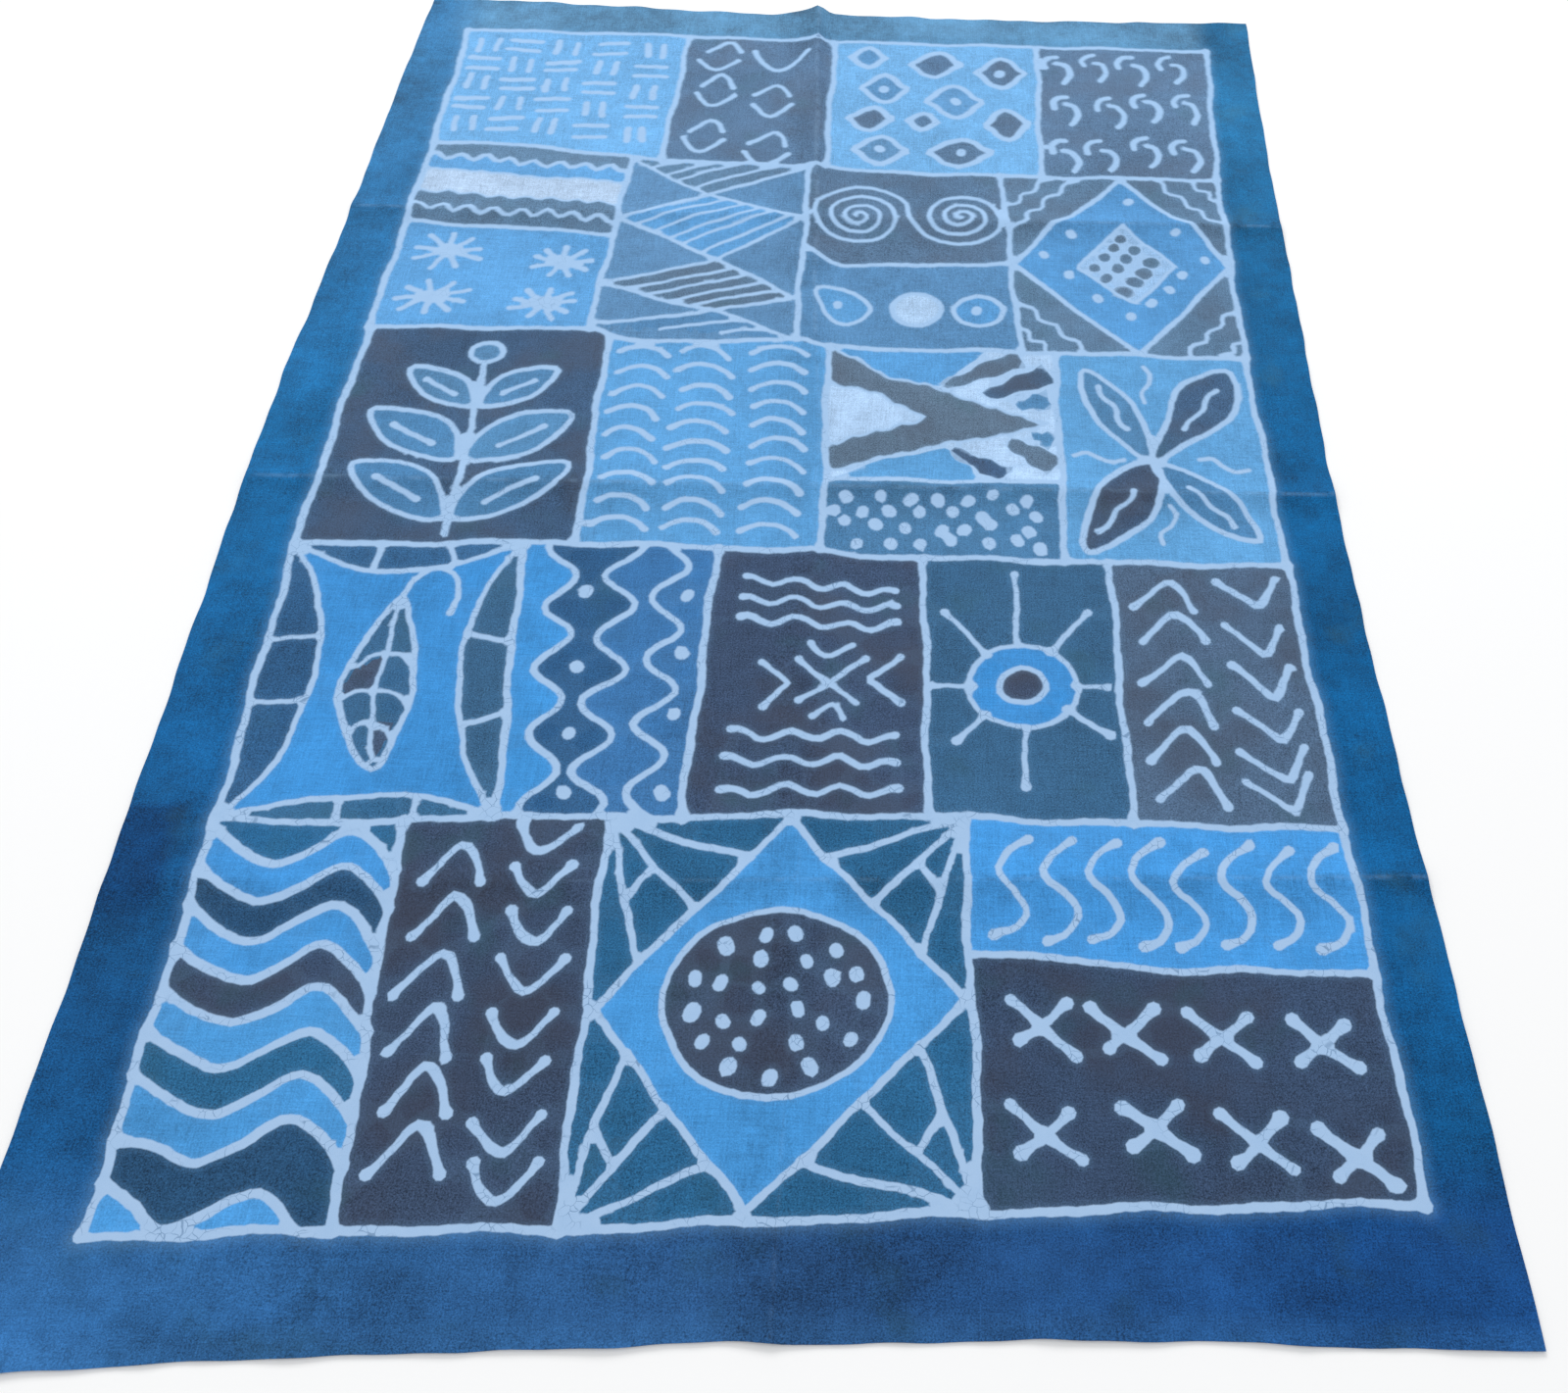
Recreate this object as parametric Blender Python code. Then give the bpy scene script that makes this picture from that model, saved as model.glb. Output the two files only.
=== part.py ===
# Adire cloth: one oblong cotton sheet, dyed indigo, lying flat as it was opened out.
#
# The sheet is one solid. Its four edges sway a little, as hand-cut cloth does, and it
# lies slightly slanted and bowed. It was stored folded, once along its length and three
# times across, so four creases still stand up from the surface as low ridges. Between
# the ridges the underside is flat. Units are metres, +Z is up, and the origin is under
# the middle of the sheet, on the surface that it lies on.

from collections import namedtuple

import bpy
from mathutils import Vector

for old in list(bpy.data.objects):
    bpy.data.objects.remove(old, do_unlink=True)

# Driving dimensions
CLOTH_WIDTH = 1.45
CLOTH_LENGTH = 2.28
CLOTH_THICKNESS = 0.0015
CLOTH_SLANT = 0.030  # how far the sheet runs on per metre of width, as it lies askew

# Sway of the side edges, positive to the right, by share of the length from the near end
SideRow = namedtuple("SideRow", "along left right")
SIDE_SWAY = (
    SideRow(0.00, 0.000, 0.000),
    SideRow(0.08, -0.002, -0.005),
    SideRow(0.17, -0.003, -0.012),
    SideRow(0.28, -0.008, -0.021),
    SideRow(0.40, -0.013, -0.028),
    SideRow(0.48, -0.017, -0.031),
    SideRow(0.57, -0.018, -0.030),
    SideRow(0.67, -0.012, -0.027),
    SideRow(0.77, -0.008, -0.026),
    SideRow(0.88, -0.006, -0.021),
    SideRow(0.95, -0.003, -0.016),
    SideRow(1.00, 0.000, -0.012),
)

# Sway of the end edges, positive away from the near end, by share of the width
EndRow = namedtuple("EndRow", "across near far")
END_SWAY = (
    EndRow(0.00, 0.000, 0.000),
    EndRow(0.07, 0.007, 0.004),
    EndRow(0.18, 0.013, -0.002),
    EndRow(0.30, 0.016, -0.011),
    EndRow(0.38, 0.017, -0.015),
    EndRow(0.48, 0.021, -0.009),
    EndRow(0.54, 0.017, -0.012),
    EndRow(0.66, 0.018, -0.014),
    EndRow(0.78, 0.014, -0.012),
    EndRow(0.90, 0.005, -0.006),
    EndRow(1.00, 0.000, 0.000),
)

# The crease along the sheet: where it runs, by share of the width, and how high it stands
LongRow = namedtuple("LongRow", "along place height")
LONG_CREASE = (
    LongRow(0.00, 0.506, 0.0025),
    LongRow(0.30, 0.516, 0.0020),
    LongRow(0.50, 0.515, 0.0025),
    LongRow(0.70, 0.495, 0.0040),
    LongRow(0.85, 0.482, 0.0080),
    LongRow(0.94, 0.473, 0.0135),
    LongRow(1.00, 0.468, 0.0180),
)
LONG_CREASE_LEFT_SKIRT = 0.065
LONG_CREASE_RIGHT_SKIRT = 0.028

# The creases across the sheet: height above the near end at each side, and how high
# each stands at its left end, in its middle and at its right end
CrossCrease = namedtuple("CrossCrease", "left_at right_at left middle right skirt")
CROSS_CREASES = (
    CrossCrease(0.500, 0.505, 0.0008, 0.0030, 0.0035, 0.045),
    CrossCrease(1.108, 1.096, 0.0040, 0.0045, 0.0055, 0.060),
    CrossCrease(1.684, 1.681, 0.0040, 0.0035, 0.0050, 0.050),
)

# Where the grid of the sheet is cut: steps down each ridge, and panels between ridges
RIDGE_STEPS = (-1.0, -0.55, -0.22, 0.0, 0.22, 0.55, 1.0)
PANEL_COLUMNS = 5
PANEL_ROWS = 4

CLOTH_COLOUR = (0.055, 0.185, 0.400, 1.0)
CLOTH_ROUGHNESS = 0.9


def blend(start, end, share):
    """Value between start and end."""
    return start + (end - start) * share


def table_value(rows, place, column):
    """Value of a column at a place in the first column, eased between the rows."""
    for low, high in zip(rows, rows[1:]):
        if place <= high[0]:
            share = max(0.0, (place - low[0]) / (high[0] - low[0]))
            eased = share * share * (3.0 - 2.0 * share)
            return blend(getattr(low, column), getattr(high, column), eased)
    return getattr(rows[-1], column)


def roof(distance, skirt):
    """Height of a crease beside its top: a sharp top on skirts that run out flat."""
    share = min(1.0, abs(distance) / skirt)
    return (1.0 - share) ** 2


def long_crease_height(along, across):
    """Height of the lengthwise crease at a place given in shares of the sheet."""
    distance = (across - table_value(LONG_CREASE, along, "place")) * CLOTH_WIDTH
    skirt = LONG_CREASE_LEFT_SKIRT if distance < 0 else LONG_CREASE_RIGHT_SKIRT
    return table_value(LONG_CREASE, along, "height") * roof(distance, skirt)


def cross_crease_place(crease, across):
    """Share of the length at which a crosswise crease crosses this share of the width."""
    return blend(crease.left_at, crease.right_at, across) / CLOTH_LENGTH


def cross_crease_height(crease, along, across):
    """Height of a crosswise crease at a place given in shares of the sheet."""
    distance = (along - cross_crease_place(crease, across)) * CLOTH_LENGTH
    if across < 0.5:
        top = blend(crease.left, crease.middle, across * 2.0)
    else:
        top = blend(crease.middle, crease.right, across * 2.0 - 1.0)
    return top * roof(distance, crease.skirt)


def underside_height(along, across):
    """Height of the underside, which is nothing but for the ridges."""
    heights = [cross_crease_height(crease, along, across) for crease in CROSS_CREASES]
    return max(heights + [long_crease_height(along, across)])


def sheet_point(along, across):
    """Point of the underside at a place given in shares of the sheet."""
    left = table_value(SIDE_SWAY, along, "left")
    right = CLOTH_WIDTH + table_value(SIDE_SWAY, along, "right")
    near = table_value(END_SWAY, across, "near")
    far = CLOTH_LENGTH + table_value(END_SWAY, across, "far")
    x = blend(left, right, across)
    y = blend(near, far, along) + CLOTH_SLANT * x
    return Vector((x, y, underside_height(along, across)))


def cuts_between(start, end, count):
    """Even cuts inside a panel, without its two ends."""
    return [blend(start, end, step / count) for step in range(1, count)]


def row_cuts(across):
    """Shares of the length at which the sheet is cut, at this share of the width."""
    cuts = [0.0]
    for crease in CROSS_CREASES:
        place = cross_crease_place(crease, across)
        ridge = [place + step * crease.skirt / CLOTH_LENGTH for step in RIDGE_STEPS]
        cuts += cuts_between(cuts[-1], ridge[0], PANEL_ROWS) + ridge
    return cuts + cuts_between(cuts[-1], 1.0, PANEL_ROWS) + [1.0]


def column_cuts(along):
    """Shares of the width at which the sheet is cut, at this share of the length."""
    place = table_value(LONG_CREASE, along, "place")
    ridge = []
    for step in RIDGE_STEPS:
        skirt = LONG_CREASE_LEFT_SKIRT if step < 0 else LONG_CREASE_RIGHT_SKIRT
        ridge.append(place + step * skirt / CLOTH_WIDTH)
    left_panel = [0.0] + cuts_between(0.0, ridge[0], PANEL_COLUMNS)
    right_panel = cuts_between(ridge[-1], 1.0, PANEL_COLUMNS) + [1.0]
    return left_panel + ridge + right_panel


def sheet_points():
    """Rows of points over the sheet, centred on the origin."""
    rows = []
    for row in range(len(row_cuts(0.0))):
        middle_along = row_cuts(0.5)[row]
        points = []
        for across in column_cuts(middle_along):
            points.append(sheet_point(row_cuts(across)[row], across))
        rows.append(points)
    xs = [point.x for points in rows for point in points]
    ys = [point.y for points in rows for point in points]
    centre = Vector(((min(xs) + max(xs)) / 2.0, (min(ys) + max(ys)) / 2.0, 0.0))
    return [[point - centre for point in points] for points in rows]


def cloth_material():
    """Indigo cotton."""
    material = bpy.data.materials.new("indigo_cotton")
    material.use_nodes = True
    shader = material.node_tree.nodes["Principled BSDF"]
    shader.inputs["Base Color"].default_value = CLOTH_COLOUR
    shader.inputs["Roughness"].default_value = CLOTH_ROUGHNESS
    shader.inputs["Metallic"].default_value = 0.0
    return material


def make_cloth():
    """The sheet: its underside as a grid of faces, thickened upwards."""
    rows = sheet_points()
    columns = len(rows[0])
    faces = []
    for row in range(len(rows) - 1):
        for column in range(columns - 1):
            corner = row * columns + column
            faces.append((corner, corner + 1, corner + columns + 1, corner + columns))
    mesh = bpy.data.meshes.new("adire_cloth")
    mesh.from_pydata([point for points in rows for point in points], [], faces)
    mesh.materials.append(cloth_material())
    cloth = bpy.data.objects.new("adire_cloth", mesh)
    bpy.context.collection.objects.link(cloth)
    thickness = cloth.modifiers.new("thickness", "SOLIDIFY")
    thickness.thickness = CLOTH_THICKNESS
    thickness.offset = 1.0
    return cloth


make_cloth()
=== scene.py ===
# %% [markdown]
# # An adire cloth, drawn in wax and dyed with indigo
#
# The real thing is one oblong of plain cotton. Its maker brushes hot wax on the white
# cloth, dips it in light blue, waxes again what should stay light blue, and dips it in
# darker baths. Boiled out, the wax leaves pale lines. So the cloth has one piece and no
# seams, and nearly all that shows is dye.
#
# This lesson makes that cloth in the same order: cut the sheet, brush the wax, dye the
# panels, and lay the sheet down with the creases it was stored in. The plain solid of
# the sheet is loaded first, and gives the place and size that everything keeps to.

# %% Load the plain solid
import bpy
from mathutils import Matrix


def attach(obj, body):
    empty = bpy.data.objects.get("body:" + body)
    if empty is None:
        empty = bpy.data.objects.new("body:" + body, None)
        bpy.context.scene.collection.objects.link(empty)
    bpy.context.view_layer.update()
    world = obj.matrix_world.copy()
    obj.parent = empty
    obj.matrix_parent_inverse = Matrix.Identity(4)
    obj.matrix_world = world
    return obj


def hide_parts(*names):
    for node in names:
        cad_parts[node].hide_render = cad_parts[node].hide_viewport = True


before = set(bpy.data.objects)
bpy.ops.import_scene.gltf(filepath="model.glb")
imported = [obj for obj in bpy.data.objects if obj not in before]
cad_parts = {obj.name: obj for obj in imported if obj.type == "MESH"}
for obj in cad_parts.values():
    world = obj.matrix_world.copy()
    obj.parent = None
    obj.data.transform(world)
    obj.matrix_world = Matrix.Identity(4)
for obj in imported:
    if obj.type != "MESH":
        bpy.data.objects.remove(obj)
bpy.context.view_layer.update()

# %% [markdown]
# ## Tools for the lesson
#
# The drawing is worked out with numpy, which handles a whole line of points at once.
# Blender's own triangulator cuts the sheet into faces later on.

# %% Tools
import math
import random
from collections import namedtuple

import bpy
import numpy as np
from mathutils import Matrix
from mathutils.geometry import delaunay_2d_cdt

# %% [markdown]
# ## The camera
#
# The cloth is seen from just beyond its near end and from chest height, looking down
# along it through a wide lens. The camera leans a few degrees to one side, and the
# frame is cut off centre, which is the small shift.

# %% Camera
CAMERA_PLACE = (0.102, -1.511, 1.496)
CAMERA_TILT = 37.2  # degrees up from straight down
CAMERA_TURN = -3.57  # degrees, to the right of the cloth's length
CAMERA_LEAN = 4.54  # degrees
CAMERA_LENS = 36.0
CAMERA_SHIFT = -0.1


def turning(degrees, axis):
    """A rotation about one axis."""
    return Matrix.Rotation(math.radians(degrees), 4, axis)


camera = bpy.data.objects.new("camera", bpy.data.cameras.new("camera"))
bpy.context.collection.objects.link(camera)
camera.data.lens = CAMERA_LENS
camera.data.shift_x = CAMERA_SHIFT
camera.matrix_world = (
    Matrix.Translation(CAMERA_PLACE)
    @ turning(CAMERA_TURN, "Z")
    @ turning(CAMERA_TILT, "X")
    @ turning(CAMERA_LEAN, "Z")
)
bpy.context.scene.camera = camera
print("camera", round(CAMERA_PLACE[2], 2), "m above the floor")

# %% [markdown]
# ## The sheet before it is drawn on
#
# The drawing is planned on the flat cloth, in metres: x runs from the left side edge
# and y from the near end. A hand-cut sheet is never quite straight, so short tables
# say how far each edge sways in or out. They are the same as the solid's. A function
# turns a place on the cloth into a place on the floor, where the sheet lies askew.

# %% Cloth sizes
WIDTH = 1.45
LENGTH = 2.28
SLANT = 0.030  # how far the sheet runs on per metre of width
MIDDLE = (0.716, 1.16157)  # the place on the cloth's plan that lies over the origin

SideRow = namedtuple("SideRow", "along left right")
SIDE_SWAY = (
    SideRow(0.00, 0.000, 0.000),
    SideRow(0.08, -0.002, -0.005),
    SideRow(0.17, -0.003, -0.012),
    SideRow(0.28, -0.008, -0.021),
    SideRow(0.40, -0.013, -0.028),
    SideRow(0.48, -0.017, -0.031),
    SideRow(0.57, -0.018, -0.030),
    SideRow(0.67, -0.012, -0.027),
    SideRow(0.77, -0.008, -0.026),
    SideRow(0.88, -0.006, -0.021),
    SideRow(0.95, -0.003, -0.016),
    SideRow(1.00, 0.000, -0.012),
)
EndRow = namedtuple("EndRow", "across near far")
END_SWAY = (
    EndRow(0.00, 0.000, 0.000),
    EndRow(0.07, 0.007, 0.004),
    EndRow(0.18, 0.013, -0.002),
    EndRow(0.30, 0.016, -0.011),
    EndRow(0.38, 0.017, -0.015),
    EndRow(0.48, 0.021, -0.009),
    EndRow(0.54, 0.017, -0.012),
    EndRow(0.66, 0.018, -0.014),
    EndRow(0.78, 0.014, -0.012),
    EndRow(0.90, 0.005, -0.006),
    EndRow(1.00, 0.000, 0.000),
)


def eased(rows, place, column):
    """A column of a table at one place or many, eased between its rows."""
    places = np.array([row[0] for row in rows])
    values = np.array([getattr(row, column) for row in rows])
    place = np.clip(np.asarray(place, float), places[0], places[-1])
    low = np.clip(np.searchsorted(places, place) - 1, 0, len(rows) - 2)
    share = (place - places[low]) / (places[low + 1] - places[low])
    share = share * share * (3.0 - 2.0 * share)
    return values[low] + (values[low + 1] - values[low]) * share


def on_floor(points):
    """Places on the flat cloth as places on the floor."""
    points = np.asarray(points, float)
    x, y = points[:, 0], points[:, 1]
    return np.column_stack([x - MIDDLE[0], y + SLANT * x - MIDDLE[1]])


# %% [markdown]
# ## The brush
#
# A wax line is a path and a width. The hand is unsteady: every path wanders by a few
# millimetres, and it wanders the same way for lines that lie side by side, as cloth
# pulled under the brush does. Slow, quicker and quick waves are added up for it, so it
# needs no random numbers, and every path is cut into even steps first.

# %% Brush paths
STEP = 0.009  # spacing of points along a long wax line
SLOW_SWAY = 0.0020
MIDDLE_SWAY = 0.0011
QUICK_SWAY = 0.0006


def wander(points):
    """Moves points as an unsteady hand would, alike for places that are close."""
    x, y = points[:, 0], points[:, 1]
    slow_x = SLOW_SWAY * np.sin(19 * x + 27 * y + 1.0) + MIDDLE_SWAY * np.sin(67 * y - 41 * x)
    slow_y = SLOW_SWAY * np.sin(31 * x - 17 * y + 2.0) + MIDDLE_SWAY * np.sin(59 * x + 47 * y)
    quick_x = QUICK_SWAY * np.sin(231 * y + 149 * x)
    quick_y = QUICK_SWAY * np.sin(241 * x - 163 * y)
    return points + np.column_stack([slow_x + quick_x, slow_y + quick_y])


def even(points, closed=False, step=STEP):
    """The same path with points at even steps."""
    points = np.asarray(points, float)
    if closed:
        points = np.vstack([points, points[:1]])
    lengths = np.hypot(*np.diff(points, axis=0).T)
    along = np.concatenate([[0.0], np.cumsum(lengths)])
    count = max(2 + closed * 5, int(round(along[-1] / step)) + 1)
    marks = np.linspace(0.0, along[-1], count)
    path = np.column_stack([np.interp(marks, along, points[:, k]) for k in (0, 1)])
    return path[:-1] if closed else path


def rounded(points, closed=False, cuts=6):
    """A smooth curve through the points."""
    points = np.asarray(points, float)
    if closed:
        padded = np.vstack([points[-1:], points, points[:2]])
    else:
        padded = np.vstack([2 * points[0] - points[1], points, 2 * points[-1] - points[-2]])
    share = np.linspace(0.0, 1.0, cuts, endpoint=False)[:, None]
    spans = []
    for a, b, c, d in zip(padded, padded[1:], padded[2:], padded[3:]):
        bend = 2 * a - 5 * b + 4 * c - d
        spans.append(0.5 * (2 * b + (c - a) * share + bend * share**2
                            + (3 * b - a - 3 * c + d) * share**3))
    if not closed:
        spans.append(points[-1:])
    return np.vstack(spans)


print("paths wander by up to", round((SLOW_SWAY + MIDDLE_SWAY + QUICK_SWAY) * 1000, 1), "mm")

# %% [markdown]
# ## Wax and dye
#
# Lines swell a little where the brush rests, and end in a drop. A line may also close
# on itself and be filled with a dye of its own. Nothing is drawn yet: each line and
# each dyed patch is only noted in a list, in the order in which the maker works. The
# hand draws its small differences from seeded random numbers, so that the cloth comes
# out the same every time.

# %% Wax and dye
WAX_WIDTH = 0.0085
SHORT_LINE = 0.12  # a line shorter than this has its points closer together
SHORT_STEP = 0.0068
PRESS_SWELL = 0.45  # how much wider a line gets where the brush rests
PRESS_LENGTH = 0.14  # and over what share of its length
HAIRLINE = 0.0006  # half the width of a line that hardly shows
HAND_SEED = 7
hand = random.Random(HAND_SEED)
Stroke = namedtuple("Stroke", "path half closed")
Patch = namedtuple("Patch", "outline dye tint")
strokes = []
patches = []
cell_middles = []


def dye(outline, name):
    """Dyes what lies inside an outline. Later patches cover earlier ones."""
    strength, warmth = hand.uniform(0.93, 1.07), hand.uniform(-0.07, 0.07)
    tint = (strength * (1 + warmth), strength, strength * (1 - warmth / 2))
    patches.append(Patch(wander(even(outline, closed=True)), name, tint))


def wax(points, width=WAX_WIDTH, closed=False, curved=True, drop=0.0, fill=None, press=None):
    """Brushes one wax line, with drops at its ends, and may dye what it encloses."""
    path = rounded(points, closed) if curved else np.asarray(points, float)
    length = np.hypot(*np.diff(path, axis=0).T).sum()
    path = even(path, closed, SHORT_STEP if length < SHORT_LINE else STEP)
    if fill:
        dye(path, fill)
    swell = 1.0 + 0.10 * np.sin(37 * path[:, 0] + 53 * path[:, 1]) + hand.uniform(-0.06, 0.06)
    if press is not None:  # the brush rests where the line turns
        from_press = (np.linspace(0.0, 1.0, len(path)) - press) / PRESS_LENGTH
        swell += PRESS_SWELL * np.exp(-from_press ** 2)
    half = 0.5 * width * swell
    if drop and not closed:
        half[[0, -1]] *= 1.0 + drop
        half[[1, -2]] *= 1.0 + 0.3 * drop
    strokes.append(Stroke(wander(path), half, closed))


def dot(centre, radius):
    """One dot of wax, mostly a little longer along the cloth than across it."""
    radius *= hand.uniform(0.88, 1.12)
    lean = math.radians(hand.uniform(-40.0, 40.0))
    tail = hand.uniform(0.0015, 0.0035) * np.array([math.sin(lean), math.cos(lean)])
    ends = np.array([centre - tail, centre + tail])
    strokes.append(Stroke(wander(ends), np.array([radius, radius]) * 0.92, False))


def crisp(outline, name, step=STEP):
    """A dyed shape with hardly any wax round it."""
    path = even(outline, closed=True, step=step)
    dye(path, name)
    strokes.append(Stroke(wander(path), np.full(len(path), HAIRLINE), True))
    return wander(path)


def cell(outline, name):
    """A small dyed shape, which needs a point in its middle to keep its colour."""
    cell_middles.append(crisp(outline, name, step=0.007).mean(axis=0))


print("brush", WAX_WIDTH * 1000, "mm wide")

# %% [markdown]
# ## Placing shapes
#
# Shapes that come back, such as chevrons and arcs, are drawn once in a square of side
# one and then placed, each a little larger or smaller, turned or shifted.

# %% Placing shapes
SHAKE = 3.5  # degrees that a repeated shape may turn


def placed(shape, centre, size, turn=0.0):
    """A shape drawn in a unit square, put in its place by an uneven hand."""
    angle = math.radians(turn + hand.uniform(-SHAKE, SHAKE))
    wide = size[0] * hand.uniform(0.93, 1.07)
    high = size[1] * hand.uniform(0.93, 1.07)
    slip = np.array([hand.uniform(-0.003, 0.003), hand.uniform(-0.003, 0.003)])
    points = np.asarray(shape, float) * (wide, high)
    spin = np.array([[math.cos(angle), math.sin(angle)], [-math.sin(angle), math.cos(angle)]])
    return points @ spin + np.asarray(centre) + slip


def ring(centre, across, along, count=16):
    """Points of an oval about a centre, given its two radii."""
    turns = np.linspace(0.0, 2 * math.pi, count, endpoint=False)
    return np.column_stack([centre[0] + across * np.cos(turns),
                            centre[1] + along * np.sin(turns)])


def ripple(start, end, waves, height, cuts=8, phase=0.0):
    """Points of a wavy line from start to end."""
    start, end = np.asarray(start, float), np.asarray(end, float)
    share = np.linspace(0.0, 1.0, int(waves * cuts) + 1)[:, None]
    run = end - start
    side = np.array([-run[1], run[0]]) / np.hypot(*run)
    return start + run * share + side * height * np.sin(2 * math.pi * (waves * share + phase))


print("shapes turn by up to", SHAKE, "degrees")

# %% [markdown]
# ## The plan of panels
#
# A wax frame runs round the cloth inside a plain border. Five rows of panels fill it.
# Each row lies between two long lines that dip and rise a little, and short lines part
# its panels.

# %% Lines between the panels
ROW_LINES = (
    ((0.094, 0.124), (0.350, 0.127), (0.527, 0.125), (0.910, 0.135), (1.364, 0.139)),
    ((0.090, 0.580), (0.292, 0.578), (0.406, 0.588), (0.523, 0.583), (0.685, 0.587),
     (0.878, 0.586), (1.085, 0.577), (1.349, 0.569)),
    ((0.075, 0.991), (0.370, 0.998), (0.423, 0.998), (0.727, 0.988), (0.797, 0.981),
     (1.045, 0.975), (1.337, 0.970)),
    ((0.077, 1.409), (0.379, 1.411), (0.418, 1.397), (0.540, 1.387), (0.679, 1.400),
     (0.727, 1.382), (1.000, 1.379), (1.330, 1.372)),
    ((0.079, 1.859), (0.250, 1.851), (0.396, 1.828), (0.640, 1.816), (0.705, 1.818),
     (0.760, 1.807), (1.049, 1.803), (1.335, 1.805)),
    ((0.077, 2.187), (0.449, 2.187), (0.600, 2.181), (0.705, 2.181), (1.356, 2.184)),
)
Parting = namedtuple("Parting", "near far")  # where a short line meets the two long ones
PARTINGS = (
    (Parting(0.094, 0.090), Parting(0.320, 0.292), Parting(0.527, 0.518),
     Parting(0.929, 0.914), Parting(1.364, 1.349)),
    (Parting(0.090, 0.075), Parting(0.392, 0.357), Parting(0.597, 0.603),
     Parting(0.875, 0.866), Parting(1.108, 1.105), Parting(1.349, 1.337)),
    (Parting(0.075, 0.077), Parting(0.423, 0.414), Parting(0.736, 0.727),
     Parting(1.050, 1.052), Parting(1.337, 1.330)),
    (Parting(0.077, 0.079), Parting(0.384, 0.397), Parting(0.679, 0.679),
     Parting(1.003, 0.985), Parting(1.330, 1.335)),
    (Parting(0.079, 0.077), Parting(0.442, 0.453), Parting(0.703, 0.704),
     Parting(1.049, 1.055), Parting(1.335, 1.356)),
)
print(sum(len(partings) - 1 for partings in PARTINGS), "panels in", len(PARTINGS), "rows")

# %% [markdown]
# ## A panel and its shares
#
# A panel here is the piece of a lower line and of an upper line that bound it, so a
# motif can be placed by shares: 0 to 1 across, and 0 to 1 along from the panel's near
# side to its far side. The frame and all the lines between panels are brushed first.

# %% A panel
SIDE_POINTS = 14  # points along one side of a panel


def on_line(line, x):
    """The place of a long line at this x."""
    return np.array([x, np.interp(x, line[:, 0], line[:, 1])])


def stretch(line, start, end):
    """The piece of a long line between two places, cut into short steps."""
    return np.array([on_line(line, x) for x in np.linspace(start, end, SIDE_POINTS)])


class Panel:
    """The field between a near line and a far line, each running left to right."""

    def __init__(self, near, far):
        self.near, self.far = near, far
        self.width = (near[-1][0] - near[0][0] + far[-1][0] - far[0][0]) / 2

    def spot(self, across, along):
        """The place at these shares of the panel."""
        ends = []
        for line in (self.near, self.far):
            marks = np.linspace(0.0, 1.0, len(line))
            ends.append([np.interp(across, marks, line[:, k]) for k in (0, 1)])
        return np.array(ends[0]) * (1 - along) + np.array(ends[1]) * along

    def spots(self, shares):
        """The places at many shares."""
        return np.array([self.spot(across, along) for across, along in shares])

    def side(self, start, end):
        """The places along one side, from one corner to another."""
        shares = np.linspace(0.0, 1.0, SIDE_POINTS)[:, None]
        return self.spots(np.asarray(start) * (1 - shares) + np.asarray(end) * shares)

    def outline(self):
        """The panel's edge, all the way round."""
        return np.vstack([self.near, self.far[::-1]])

    def split(self, shares):
        """Waxes a line across the panel and gives the panels on its near and far side."""
        line = even(self.spots(shares), step=self.width / (SIDE_POINTS - 1))
        wax(line, curved=False)
        return Panel(self.near, line), Panel(line, self.far)


print("a panel's side has", SIDE_POINTS, "points")

# %% Brush the frame
FRAME_WIDTH = 0.0092
FRAME_STEP = 0.02


def panel(row, column):
    """One panel, by row from the near end and by column from the left."""
    left, right = PARTINGS[row][column], PARTINGS[row][column + 1]
    near = stretch(row_lines[row], left.near, right.near)
    far = stretch(row_lines[row + 1], left.far, right.far)
    return Panel(near, far)


row_lines = [even(rounded(line), step=FRAME_STEP) for line in ROW_LINES]
for line in row_lines:
    wax(line, width=FRAME_WIDTH, curved=False)
for row, partings in enumerate(PARTINGS):
    for parting in partings:
        foot = on_line(row_lines[row], parting.near)
        head = on_line(row_lines[row + 1], parting.far)
        wax([foot, head], width=FRAME_WIDTH, curved=False, drop=0.6)
print(len(strokes), "lines in the frame and between the panels")

# %% [markdown]
# ## Shapes that come back
#
# A few points each, in a square of side one about its centre. The brush rounds them.

# %% Small shapes
CHEVRON = ((-0.5, -0.45), (-0.24, -0.02), (-0.02, 0.36), (0.14, 0.47), (0.30, 0.22), (0.40, -0.10),
           (0.5, -0.5))
TICK = ((-0.5, 0.42), (-0.34, -0.06), (-0.16, -0.42), (0.02, -0.47), (0.24, -0.12), (0.5, 0.42))
TURNED_TICK = ((-0.5, 0.38), (-0.2, 0.0), (0.06, -0.36), (0.2, -0.5), (0.34, -0.12), (0.5, 0.45))
ARC = ((-0.5, -0.1), (-0.28, 0.32), (0.02, 0.42), (0.3, 0.1), (0.5, -0.5))
SNAKE = ((0.36, 0.5), (-0.12, 0.36), (-0.34, 0.14), (0.1, -0.06), (0.34, -0.24),
         (0.12, -0.42), (-0.3, -0.5))
HOOK = ((0.42, 0.5), (-0.12, 0.42), (-0.45, 0.12), (-0.36, -0.2))
HOOK_BACK = ((-0.3, 0.5), (0.2, 0.42), (0.46, 0.1), (0.40, -0.2), (0.02, -0.5))
SLASH = ((-0.5, 0.5), (0.0, -0.03), (0.5, -0.5))
BACKSLASH = ((0.5, 0.5), (0.02, 0.02), (-0.5, -0.42))
SEED = ((0.02, 0.5), (0.24, 0.37), (0.39, 0.13), (0.53, 0.02), (0.37, -0.15), (0.22, -0.36),
        (0.0, -0.5), (-0.24, -0.37), (-0.39, -0.13), (-0.53, 0.0), (-0.38, 0.15), (-0.22, 0.36))
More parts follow.
